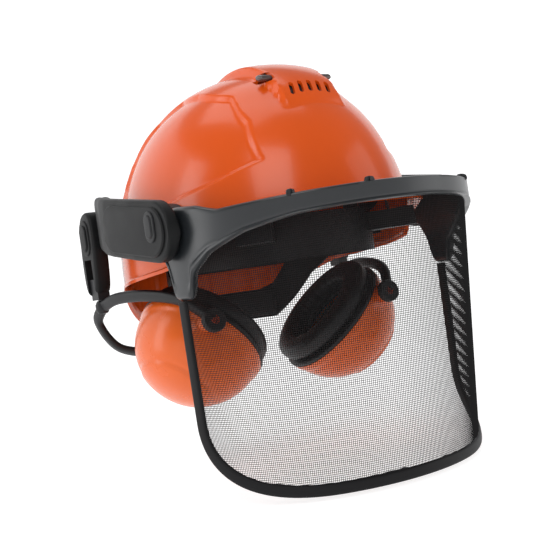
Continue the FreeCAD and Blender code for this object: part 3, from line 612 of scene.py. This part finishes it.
def makeBrow(v):
    # the section is a tall rounded strip with a rolled lower lip and a ridge above it
    x, y = browPath(v, v["browThick"] / 2)
    top = softLine(y, browTop)
    low = softLine(y, browLow)
    boss = np.sqrt(np.maximum(v["bossRadius"] ** 2 - (y - v["pivotY"]) ** 2, 0))
    near = ease(y, -44, -36)
    top = top * (1 - near) + (v["pivotZ"] + boss) * near
    low = low * (1 - near) + (v["pivotZ"] - boss) * near
    q = np.concatenate([np.linspace(0, 0.05, 4), [0.09, 0.13, 0.16, 0.2, 0.26, 0.34, 0.5, 0.7, 0.86],
                        np.linspace(0.93, 1, 4)])
    half = v["browThick"] / 2
    corner = half * np.clip(np.minimum(q, 1 - q) / 0.06, 0, 1) ** 0.5
    lip = 0.9 * np.exp(-((q - 0.06) / 0.045) ** 2) - 0.5 * np.exp(-((q - 0.17) / 0.02) ** 2)
    outside = corner + lip
    sectionQ = np.concatenate([q, q[::-1]])
    sectionO = np.concatenate([outside, -corner[::-1]])
    ahead = np.gradient(np.stack([x, y], -1), axis=0)
    ahead /= np.linalg.norm(ahead, axis=1, keepdims=True)
    out = np.stack([ahead[:, 1], -ahead[:, 0]], -1)
    if np.sum(out * np.stack([x, y - v["browBack"]], -1)) < 0:
        out = -out
    z = low[:, None] + (top - low)[:, None] * sectionQ[None]
    px = x[:, None] + out[:, :1] * sectionO[None]
    py = y[:, None] + out[:, 1:] * sectionO[None]
    band = tubeMesh(np.stack([px, py, z], -1))
    # a thin ledge runs inwards from the upper edge and rises a little towards the shell
    limit = math.radians(v["ledgeAngle"])
    angle = np.linspace(-limit, limit, 160)
    w = np.linspace(0, 1, 12)
    across = np.concatenate([w, w[::-1]])
    rise = np.concatenate([0.3 + 1.0 * ease(w, 0.1, 0.7), (-1.5 + 1.0 * ease(w, 0.1, 0.7))[::-1]])
    fade = np.clip((limit - np.abs(angle)) / 0.2, 0.12, 1)
    inward = half + 0.3 + v["ledgeWide"] * fade[:, None] * across[None]
    lx = (v["browWide"] - inward) * np.sin(angle)[:, None]
    ly = v["browBack"] - (v["browReach"] - inward) * np.cos(angle)[:, None]
    edgeY = v["browBack"] - v["browReach"] * np.cos(angle)
    lz = softLine(edgeY, browTop)[:, None] - 1.0 + rise[None] * fade[:, None]
    ledge = tubeMesh(np.stack([lx, ly, lz], -1))
    return addPiece("brow_band", joinMeshes(band, ledge), "visor", "brow",
                    ["visor_brow"], 50)


clipPlaces = {"visor_clip_a": -72.0, "visor_clip_b": -25.0, "visor_clip_c": 76.0}


def makeClips(v):
    # small hooks standing on the brow's upper edge, each with an eye
    for node, x in clipPlaces.items():
        away = math.sqrt(1 - (x / (v["browWide"] - v["hookInset"])) ** 2)
        y = v["browBack"] - (v["browReach"] - v["hookInset"]) * away
        turn = math.atan2(-(v["browReach"] * x / (v["browWide"] ** 2 * away)), 1)
        base = float(softLine(np.array([y]), browTop)[0]) - v["hookSink"]
        tab = roundedPlate(closedOutline([(-4.5, 0), (4.5, 0), (4.2, 4.2), (1.5, 5.6), (-3.2, 5.6)], 3, 40),
                           -1.5, 1.5, 0.6, 4)
        eye = turned([(1.1, -2.3), (2.2, -2.3), (2.2, 2.3), (1.1, 2.3)], 24)
        eyePoints = np.stack([eye[0][:, 2], eye[0][:, 0] + 0.4, eye[0][:, 1] + 3.0], -1)
        points, faces = joinMeshes(tab, (eyePoints, eye[1]))
        # the tab is drawn facing along X, so it is turned to face forwards first
        local = np.stack([points[:, 1], -points[:, 0], points[:, 2]], -1)
        c, s = math.cos(turn), math.sin(turn)
        local = np.stack([c * local[:, 0] - s * local[:, 1], s * local[:, 0] + c * local[:, 1],
                          local[:, 2]], -1)
        addPiece(node + "_hook", (local + np.array([x, y, base]), faces), "visor", "black",
                 [node])


def screenPoint(v, u, z):
    # the screen is part of an oval cone: angle u from the middle, height z
    grow = (v["screenTop"] - z) / v["screenTall"]
    wide = v["screenWide"] + v["screenFlare"] * grow
    deep = v["screenReach"] - v["screenTaper"] * grow
    middle = v["browBack"] + v["screenLean"] * grow
    return np.stack([wide * np.sin(u), middle - deep * np.cos(u), z + 0 * u], -1)


def angleAt(v, y, z):
    # the angle at which the screen passes through a place along the side
    grow = (v["screenTop"] - z) / v["screenTall"]
    deep = v["screenReach"] - v["screenTaper"] * grow
    return np.arccos(np.clip((v["browBack"] + v["screenLean"] * grow - y) / deep, -1, 1))


def screenBottom(v, y, inset):
    # height of the screen's lower edge at a place along the side, inset from the outline
    middle = v["browBack"] - inset - v["cornerDeep"]
    high = -v["screenDrop"] + inset + v["cornerRise"]
    bend = np.clip((y - middle) / v["cornerDeep"], 0, 1)
    return high - v["cornerRise"] * np.sqrt(np.maximum(1 - bend ** 2, 0))


def wireRibbon(path, out, size):
    # a thin three-sided wire along each path; paths are rows of points
    ahead = np.gradient(path, axis=1)
    ahead /= np.maximum(np.linalg.norm(ahead, axis=2, keepdims=True), 1e-9)
    side = np.cross(ahead, out)
    t = np.array([math.pi / 2, math.pi * 7 / 6, math.pi * 11 / 6])
    ring = size / 2 * (np.cos(t)[:, None] * side[:, :, None] + np.sin(t)[:, None] * out[:, :, None])
    points = path[:, :, None] + ring
    wires, steps = path.shape[:2]
    one = np.array(gridFaces(steps, 3, wrapCols=True))
    faces = (one[None] + (np.arange(wires) * steps * 3)[:, None, None]).reshape(-1, 4)
    return points.reshape(-1, 3), faces.tolist()


def screenOut(v, u, z):
    a = screenPoint(v, u + 0.01, z) - screenPoint(v, u - 0.01, z)
    b = screenPoint(v, u, z + 1) - screenPoint(v, u, z - 1)
    n = np.cross(b, a)
    n /= np.linalg.norm(n, axis=-1, keepdims=True)
    return np.where(n[..., 1:2] > 0, -n, n)


def makeScreen(v):
    # upright wires run from brow to edge trim, level wires cross them on the inner side
    rear = v["browBack"] - v["wireRear"]
    edge = float(angleAt(v, rear, -50.0))
    fine = np.linspace(-edge, edge, 2001)
    line = screenPoint(v, fine, np.full(2001, -50.0))
    reach = np.concatenate([[0], np.cumsum(np.linalg.norm(np.diff(line, axis=0), axis=1))])
    share = np.interp(np.arange(v["wirePitch"], reach[-1], v["wirePitch"]), reach, fine) / edge
    low = np.full(len(share), -80.0)
    for _ in range(12):
        low = screenBottom(v, screenPoint(v, share * angleAt(v, rear, low), low)[:, 1], v["wireInset"])
    q = np.linspace(0, 1, 14)
    z = low[:, None] + (v["wireTop"] - low)[:, None] * q
    uu = share[:, None] * angleAt(v, rear, z)
    out = screenOut(v, uu, z)
    upright = wireRibbon(screenPoint(v, uu, z) + v["wireStand"] * out, out, v["wireWide"])
    level = np.arange(-v["screenDrop"] + 3.8, v["wireTop"], v["wirePitch"])
    spread = angleAt(v, rear, level)
    for _ in range(60):
        here = screenPoint(v, spread, level)
        tooLow = level < screenBottom(v, here[:, 1], v["wireInset"])
        spread = np.where(tooLow, spread - 0.022, spread)
    spread = np.maximum(spread, 0.2)
    zz = np.broadcast_to(level[:, None], (len(level), 72))
    across = np.linspace(-1, 1, 72)[None] * spread[:, None]
    out = screenOut(v, across, zz)
    flat = wireRibbon(screenPoint(v, across, zz) - v["wireStand"] * out, out, v["wireWide"])
    return addPiece("wire_screen", joinMeshes(upright, flat), "visor", "wire",
                    ["visor_mesh"], 80)


def trimPath(v, inset, count=420):
    # centre line of the edging: down one side, round the corner, across and up the other side
    back = v["browBack"] - inset
    low = -v["screenDrop"] + inset
    side = np.stack([np.full(40, back), np.linspace(v["trimTop"], low + v["cornerRise"], 40)], -1)
    t = np.linspace(0, math.pi / 2, 50)[1:]
    corner = np.stack([back - v["cornerDeep"] * (1 - np.cos(t)),
                       low + v["cornerRise"] * (1 - np.sin(t))], -1)
    half = np.vstack([side, corner])
    u = angleAt(v, half[:, 0], half[:, 1])
    front = np.linspace(u[-1], 0, 40)[1:]
    u = np.concatenate([u, front])
    z = np.concatenate([half[:, 1], np.full(39, low)])
    u = np.concatenate([-u, u[::-1][1:]])
    z = np.concatenate([z, z[::-1][1:]])
    p = screenPoint(v, u, z)
    reach = np.concatenate([[0], np.cumsum(np.linalg.norm(np.diff(p, axis=0), axis=1))])
    want = np.linspace(0, reach[-1], count)
    return np.interp(want, reach, u), np.interp(want, reach, z)


def makeTrim(v):
    # moulded edging, thicker on its outer rim, with an uneven bead of adhesive along its inner side
    u, z = trimPath(v, v["trimWide"] / 2)
    path = screenPoint(v, u, z)
    out = screenOut(v, u, z)
    ahead = np.gradient(path, axis=0)
    ahead /= np.linalg.norm(ahead, axis=1, keepdims=True)
    rimward = np.cross(out, ahead)
    section = superOval(v["trimThick"] / 2, v["trimWide"] / 2, 3.4, 28)
    section[:, 0] *= 1 - 0.22 * section[:, 1] / (v["trimWide"] / 2)
    middle = path[len(path) // 2]
    if rimward[len(path) // 2] @ np.array([0, 0, 1]) < 0:
        rimward = -rimward
    rings = path[:, None] + section[:, :1][None] * out[:, None] + section[:, 1:][None] * rimward[:, None]
    wobble = np.convolve(rng.normal(0, 1, len(path) + 8), np.hanning(9) / 3, "valid")
    reach = v["trimWide"] / 2 + 0.5 + 0.55 * np.maximum(wobble, -0.6)
    bead = superOval(0.55, 1, 2.6, 10)
    width = 0.5 * (reach - v["trimWide"] / 2 + 1.5)
    centre = path + rimward * (v["trimWide"] / 2 - 1.5 + width)[:, None]
    beadWide = bead[:, 1][None] * width[:, None]
    beadRings = centre[:, None] + bead[:, :1][None] * out[:, None] + beadWide[..., None] * rimward[:, None]
    shape = joinMeshes(tubeMesh(rings), tubeMesh(beadRings))
    return addPiece("screen_edging", shape, "visor", "trim", ["visor_trim"], 50)


# carrier arms and links

armSizes = {"front": (-70.0, 37.5), "rear": (50.0, 56.0), "radius": 21.5}


def armOut(y):
    return -np.interp(y, [-130, -40, 4, 20, 34, 80], [126, 134, 134, 131.5, 127, 114])


def armIn(y):
    return -np.interp(y, [-130, 14, 26, 40, 80], [120.2, 120.2, 116.5, 111.2, 100.2])


def armShape(a):
    # a long rounded block: sections stand across its line and follow the plan's bend
    front = np.array(a["front"])
    run = np.array(a["rear"]) - front
    length = np.linalg.norm(run)
    ty, tz = run / length
    r = a["radius"]
    s = 0.5 * length - (0.5 * length + r) * np.cos(np.linspace(0.02, math.pi - 0.02, 110))
    over = np.maximum(-s, s - length).clip(0)
    half = np.sqrt(np.maximum(r * r - over ** 2, 0.4))
    t = np.linspace(0, 2 * math.pi, 96, endpoint=False)
    across = np.sign(np.cos(t)) * np.abs(np.cos(t)) ** (2 / 7)
    thick = np.sign(np.sin(t)) * np.abs(np.sin(t)) ** (2 / 4.5)
    groove = 1 - 0.022 * np.exp(-((thick - 0.05) / 0.09) ** 2)
    h = half[:, None] * (across * groove)[None]
    y = front[0] + s[:, None] * ty - h * tz
    z = front[1] + s[:, None] * tz + h * ty
    outer = np.maximum(armOut(y), -134 + (134 - 112.4) * ease(y, 49.5, 54))
    x = armIn(y) * (1 - thick) / 2 + outer * (1 + thick) / 2
    return tubeMesh(np.stack([x, y, z], -1))


def onArm(shape, lift=0.0):
    # lay a plate drawn at x = 0 on the arm's outer face
    points, faces = shape
    points = points.copy()
    points[:, 0] = armOut(points[:, 1]) - points[:, 0] - lift
    return points, faces


def makeArms(a):
    bothSides("arm_body", armShape(a), "helmet", "arm", ["carrier_arm"])
    front = np.array(a["front"])
    run = (np.array(a["rear"]) - front)
    run /= np.linalg.norm(run)
    lid = capsuleOutline(front, front + run * 60, a["radius"] - 4.2)
    cover = onArm(roundedPlate(lid, -1.0, 1.9, 1.2))
    bothSides("arm_lid", cover, "helmet", "arm", ["arm_cover"])
    ring = capsuleOutline((-72, 36.5), (-72, 45.5), 6.3, 64)
    inner = capsuleOutline((-72, 37), (-72, 45), 4.4, 64)
    button = joinMeshes(onArm(roundedPlate(ring, 0.5, 3.0, 0.8)), onArm(roundedPlate(inner, 0.5, 4.1, 1.4)))
    bothSides("arm_push", button, "helmet", "black", ["arm_button"])


def shellReach(y, z, s=shellSizes):
    # half the shell's width at a place along the side
    k = np.clip((z - s["raise"]) / s["height"], 0, 1)
    plan = (1 - k ** s["fullness"]) ** (1 / s["fullness"])
    return s["halfWidth"] * np.sqrt(np.maximum(plan ** 2 - (y / s["halfLength"]) ** 2, 0))


def makeAdapters():
    # a rounded plug on the shell's side with the step that the arm is fixed to
    outline = [(-58, 34), (-57, 50), (-47, 59.5), (0, 60), (24, 60), (25, 34)]
    plug = roundedPlate(closedOutline(outline, 3, 120), -104, -110.4, 1.8, 6)
    step = roundedPlate(closedOutline([(-6, 31), (-6, 60), (25, 60), (25, 31)], 2, 80), -104, -120.6, 1.0, 4)
    points, faces = joinMeshes(plug, step)
    bed = -(shellReach(points[:, 1], points[:, 2]) - 1.2)
    points[:, 0] = np.where(points[:, 0] > -105, bed, np.minimum(points[:, 0], bed - 1.5))
    bothSides("slot_plug", (points, faces), "helmet", "black", ["slot_adapter"])


linkEdge = [(57, 46), (58, 64), (66, 69), (78, 66), (84, 56), (87, 28), (86, 6), (80, 0), (68, 0), (61, 8),
            (58, 32)]


def makeLinks():
    # hanging link with an oval push and a window in its lower end
    body = roundedPlate(closedOutline(linkEdge, 3, 120), -126, -113, 2.6)
    rim = capsuleOutline((71, 42), (71, 53), 9.0, 72)
    raised = roundedPlate(rim, -127.2, -125, 0.9)
    pair = bothSides("link_body", body, "link", "arm", ["swing_link"])
    for piece, sign in zip(pair, (1, -1)):
        x = sorted((sign * -140, sign * -100))
        cutWith(piece, block((x[0], 65.7, -20), (x[1], 80.3, 30)))
    push = joinMeshes(raised, roundedPlate(capsuleOutline((71, 43), (71, 52), 6.4, 72), -128.6, -126.5, 1.3))
    bothSides("link_push", push, "link", "arm", ["link_button"])


# ear cups, drawn round the cup's own middle with X pointing at the head

cupSizes = {"deep": 50.0, "long": 56.0, "tall": 50.0, "wall": 2.5, "tilt": 45.0, "pitch": 11.0,
            "centre": (-64.0, 16.0, -47.0), "pinReach": 60.0, "pinUp": 16.0, "pinOut": 8.0,
            "plate": 4.0, "cushion": 16.0}


def placeCup(points, c=cupSizes):
    pitch, tilt = math.radians(-c["pitch"]), math.radians(-c["tilt"])
    turn = Matrix.Rotation(pitch, 3, "X") @ Matrix.Rotation(tilt, 3, "Y")
    return np.asarray(points) @ np.array(turn).T + np.array(c["centre"])


def cupDome(c):
    # a deep oval bowl with a rolled rim and a raised oval field on its crown
    beta = np.linspace(0, math.pi / 2 - 0.01, 60)[:, None]
    t = np.linspace(0, 2 * math.pi, 120, endpoint=False)[None]
    k = 2 / 2.15
    radial = np.cos(beta) ** k
    lip = 1.3 * (1 - ease(beta, 0.04, 0.16))
    field = 0.9 * (1 - ease(radial, 0.56, 0.60)) - 0.7 * np.exp(-((radial - 0.63) / 0.012) ** 2)
    grow = 1 + (lip + field) / 52
    x = -c["deep"] * np.sin(beta) ** k * (1 + field / 52) + 0 * t
    y = c["long"] * radial * grow * np.cos(t)
    z = c["tall"] * radial * grow * np.sin(t)
    outer = np.stack([x, y, z], -1)
    inner = np.stack([x + c["wall"] * np.sin(beta), y * (1 - c["wall"] / c["long"]),
                      z * (1 - c["wall"] / c["tall"])], -1)
    return tubeMesh(np.concatenate([outer[::-1], inner]))


def alongY(shape, y, out, up):
    # lay a turned piece along the cup's pin line
    points, faces = shape
    p = np.stack([points[:, 0] - out, points[:, 2] + y, points[:, 1] + up], -1)
    return p, faces


def makeCups(c):
    boss = turned([(7, 0), (7, 12.0), (6.2, 12.8), (4, 12.8), (4, 0)])
    parts = [cupDome(c)]
    parts.append(alongY(boss, c["pinReach"] - 13.4, c["pinOut"], c["pinUp"]))
    parts.append(alongY(mirrorShape(boss, (1, 1, -1)), -c["pinReach"] + 13.4, c["pinOut"], c["pinUp"]))
    points, faces = joinMeshes(*parts)
    bothSides("cup_dome", (placeCup(points), faces), "cup", "cup", ["cup_shell"], 50)


def ovalRing(c, inner, outer, low, high, power, wrinkle=0.0):
    # a ring whose section is a soft rounded oblong, with small creases on its inner side
    t = np.linspace(0, 2 * math.pi, 180, endpoint=False)[:, None]
    s = np.linspace(0, 2 * math.pi, 36, endpoint=False)[None]
    across = np.sign(np.cos(s)) * np.abs(np.cos(s)) ** (2 / power)
    depth = np.sign(np.sin(s)) * np.abs(np.sin(s)) ** (2 / power)
    crease = wrinkle * (np.sin(t * 31 + 2.1 * np.sin(3 * t)) + 0.6 * np.sin(t * 53 + 1.3))
    crease = crease * np.clip(-across, 0, 1)
    share = 0.5 * (inner + outer) + 0.5 * (outer - inner) * across + crease / c["long"]
    x = 0.5 * (low + high) + 0.5 * (high - low) * depth
    y = c["long"] * share * np.cos(t)
    z = c["tall"] * share * np.sin(t)
    return tubeMesh(np.stack([x + 0 * t, y, z], -1), closed=True)


def makeCushions(c):
    soft = ovalRing(c, 0.585, 0.99, c["plate"] + 0.1, c["plate"] + c["cushion"], 2.5, 0.5)
    for piece in bothSides("ear_cushion", (placeCup(soft[0]), soft[1]), "cup", "cushion",
                           ["cup_cushion"], 60):
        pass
    ring = ovalRing(c, 0.6, 1.03, 0.1, c["plate"], 5)
    bothSides("cup_ring", (placeCup(ring[0]), ring[1]), "cup", "black", ["cup_plate"])
    t = np.linspace(0, 2 * math.pi, 96, endpoint=False)[None]
    edge = [0.66, 0.68, 0.68, 0.66]
    r = np.concatenate([np.linspace(0.02, 0.62, 22), edge, np.linspace(0.6, 0.02, 8)])[:, None]
    x = np.concatenate([np.full(22, -1.2), [-2.0, -4.0, -11.5, -13.5], np.full(8, -13.8)])[:, None]
    dimple = 0.9 * np.cos(r * 30) * np.cos(t * 9) * (x > -1.5)
    foam = np.stack([x - 0.9 + dimple, c["long"] * r * np.cos(t), c["tall"] * r * np.sin(t)], -1)
    made = tubeMesh(foam)
    for piece in bothSides("cup_foam_pad", (placeCup(made[0]), made[1]), "cup", "foam",
                           ["cup_foam"], 60):
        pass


def makeYokes(c):
    # two flattened bars from the stem to an eye at each end of the cup
    reach = c["pinReach"] + 3.0
    front, rear = placeCup(np.array([[-c["pinOut"], -reach, c["pinUp"]], [-c["pinOut"], reach, c["pinUp"]]]))
    hub = (-119, 73, -9)
    ahead = smoothPath([hub, (-116, 46, -4), (-107, 8, -5), (-95, -24, -12), front], 70)
    behind = smoothPath([hub, (-118, 89, -22), (-105, 87, -44), rear], 50)
    bar = superOval(3.1, 4.6, 2.8, 24)
    parts = [tubeMesh(sweep(p, bar, (-0.9, 0, -0.3))) for p in (ahead, behind)]
    eye = turned([(4, 0), (8.4, 0), (9, 0.8), (9, 5.4), (8.2, 6.2), (4, 6.2)])
    for start in (c["pinReach"] - 0.4, -c["pinReach"] - 5.8):
        points, faces = alongY(eye, start, c["pinOut"], c["pinUp"])
        parts.append((placeCup(points), faces))
    knot = turned([(0.5, -6), (4, -5), (5.6, -2), (5.6, 2), (4, 5), (0.5, 6)], 32)
    parts.append((knot[0] + np.array(hub), knot[1]))
    stem = roundedPlate(capsuleOutline((73, -9), (73, 19.6), 4.4, 48), -120.5, -117.5, 0.6)
    parts.append(stem)
    bothSides("fork", joinMeshes(*parts), "yoke", "black", ["yoke"])


# soft bands inside

headSizes = {"wide": 78.2, "long": 97.2}


def hoopPad(name, inset, thick, low, high, begin, finish, look, node, seams):
    # a padded strip that follows the headband's oval, drawn in along its sewn channels
    u = np.linspace(math.radians(begin), math.radians(finish), 220)
    wide = headSizes["wide"] - inset - thick / 2
    deep = headSizes["long"] - inset - thick / 2
    t = np.linspace(0, 2 * math.pi, 30, endpoint=False)
    a = np.sign(np.cos(t)) * np.abs(np.cos(t)) ** (2 / 3)
    b = np.sign(np.sin(t)) * np.abs(np.sin(t)) ** (2 / 3)
    q = (u - u[0]) / (u[-1] - u[0])
    channel = 1 - 0.4 * np.exp(-((((q * seams + 0.5) % 1) - 0.5) / 0.06) ** 2)
    ends = np.clip(np.minimum(q, 1 - q) / 0.02, 0.05, 1) ** 0.5
    half = thick / 2 * channel * ends
    x = (wide + half[:, None] * a[None]) * np.cos(u)[:, None]
    y = (deep + half[:, None] * a[None]) * np.sin(u)[:, None]
    z = 0.5 * (low + high) + 0.5 * (high - low) * b[None] * (0.9 + 0.1 * ends)[:, None]
    piece = addPiece(name, tubeMesh(np.stack([x, y, z], -1)), "helmet", look, [node], 60)


def makePads():
    hoopPad("brow_pad", 2.4, 2.9, 8, 36, -166, -14, "knit", "sweatband", 9)
    hoopPad("nape_cushion", 0.2, 3.8, -38, -16, 53, 127, "pad", "nape_pad", 5)


# what the plain CAD pieces are finished in, where it isn't the band's plastic

finishes = {"crown_straps": "webbing", "ratchet_knob": "black"}
for side in ("right", "left"):
    finishes["visor_pin_" + side] = "steel"
    finishes["spring_block_" + side] = "black"
    for end in ("front", "rear"):
        finishes["cup_pin_%s_%s" % (end, side)] = "pin"


def finishCad():
    for name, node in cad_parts.items():
        look = finishes.get(name, "band")
        if len(node.material_slots) == 0:
            node.data.materials.append(looks[look])
        for place in node.material_slots:
            place.material = looks[look]


# studio

studio = {"floorZ": -0.1548, "flat": 1.9, "bend": 0.8, "low": 0.6, "tall": 2.6}
cameraSet = {"azimuth": 31.45, "height": 0.4, "roll": -8.27, "distance": 0.790,
             "target": (0.0072, 0.0, -0.0080), "sensor": 36.0, "lens": 62.22857}


def makeFloor(s):
    # a round floor that bends up into a low wall all the way round, highest behind the object
    turn = np.linspace(0, 2 * math.pi, 96, endpoint=False)[:, None]
    t = np.linspace(0, math.pi / 2, 16)
    edge = s["flat"] + s["bend"]
    reach = np.concatenate([[0.02, 0.6, 1.2, s["flat"]], s["flat"] + s["bend"] * np.sin(t[1:]), [edge]])
    height = np.concatenate([[0, 0, 0, 0], s["bend"] * (1 - np.cos(t[1:])), [s["bend"]]])
    wall = s["low"] + (s["tall"] - s["low"]) * ease(np.sin(turn), 0.0, 0.6)
    height = s["floorZ"] + height[None] * (wall / s["bend"])
    points = np.stack([reach * np.cos(turn), reach * np.sin(turn), height], -1).reshape(-1, 3)
    faces = gridFaces(96, len(reach), wrapRows=True)
    faces.append([i * len(reach) for i in range(96)])
    mesh = bpy.data.meshes.new("studioFloor")
    mesh.from_pydata(points.tolist(), [], faces)
    mesh.shade_smooth()
    look, _, _, shader = startLook("paleFloor")
    shader.inputs["Base Color"].default_value = linear(190, 190, 191)
    shader.inputs["Roughness"].default_value = 0.9
    shader.inputs["Specular IOR Level"].default_value = 0.0
    shader.inputs["Emission Color"].default_value = (1, 1, 1, 1)
    shader.inputs["Emission Strength"].default_value = 0.78
    mesh.materials.append(look)
    floor = bpy.data.objects.new("studioFloor", mesh)
    scene.collection.objects.link(floor)


def addLight(name, place, aim, size, power):
    lamp = bpy.data.lights.new(name, "AREA")
    lamp.shape = "RECTANGLE"
    lamp.size, lamp.size_y = size
    lamp.energy = power
    thing = bpy.data.objects.new(name, lamp)
    thing.location = place
    thing.rotation_euler = (Vector(place) - Vector(aim)).to_track_quat("Z", "Y").to_euler()
    scene.collection.objects.link(thing)


def makeLights():
    addLight("keySoft", (-0.9, -1.0, 1.1), (0, 0, 0.02), (0.9, 0.9), 7.6)
    addLight("fillSoft", (1.3, -0.9, 0.5), (0, 0, 0), (0.9, 1.2), 3)
    addLight("topSoft", (0.0, 0.3, 1.6), (0, 0, 0), (1.2, 1.2), 7)
    addLight("sideStrip", (-1.3, 0.5, 0.4), (0, 0, 0.05), (0.4, 1.4), 4)
    world = bpy.data.worlds.new("studioWorld")
    world.use_nodes = True
    world.node_tree.nodes["Background"].inputs["Color"].default_value = (1, 1, 1, 1)
    world.node_tree.nodes["Background"].inputs["Strength"].default_value = 0.3
    scene.world = world
    scene.view_settings.view_transform = "Standard"


def makeCamera(c):
    az, el, roll = (math.radians(c[key]) for key in ("azimuth", "height", "roll"))
    back = Vector((-math.sin(az) * math.cos(el), -math.cos(az) * math.cos(el), math.sin(el)))
    right = (-back).cross(Vector((0, 0, 1))).normalized()
    up = right.cross(-back)
    across = math.cos(roll) * right + math.sin(roll) * up
    above = -math.sin(roll) * right + math.cos(roll) * up
    data = bpy.data.cameras.new("view")
    data.sensor_width = c["sensor"]
    data.lens = c["lens"]
    data.clip_start = 0.05
    camera = bpy.data.objects.new("view", data)
    turn = Matrix((across, above, back)).transposed().to_4x4()
    camera.matrix_world = Matrix.Translation(Vector(c["target"]) + back * c["distance"]) @ turn
    scene.collection.objects.link(camera)
    scene.camera = camera


print("shell")
shell = makeShell(shellSizes)
makeVents(shell, shellSizes)
makeSlider(shellSizes)
print("visor")
makeBrow(visorSizes)
makeClips(visorSizes)
makeScreen(visorSizes)
makeTrim(visorSizes)
print("arms")
makeArms(armSizes)
makeLinks()
makeAdapters()
print("ear cups")
makeCups(cupSizes)
makeCushions(cupSizes)
makeYokes(cupSizes)
print("pads and finishes")
makePads()
finishCad()
print("studio")
makeFloor(studio)
makeLights()
makeCamera(cameraSet)
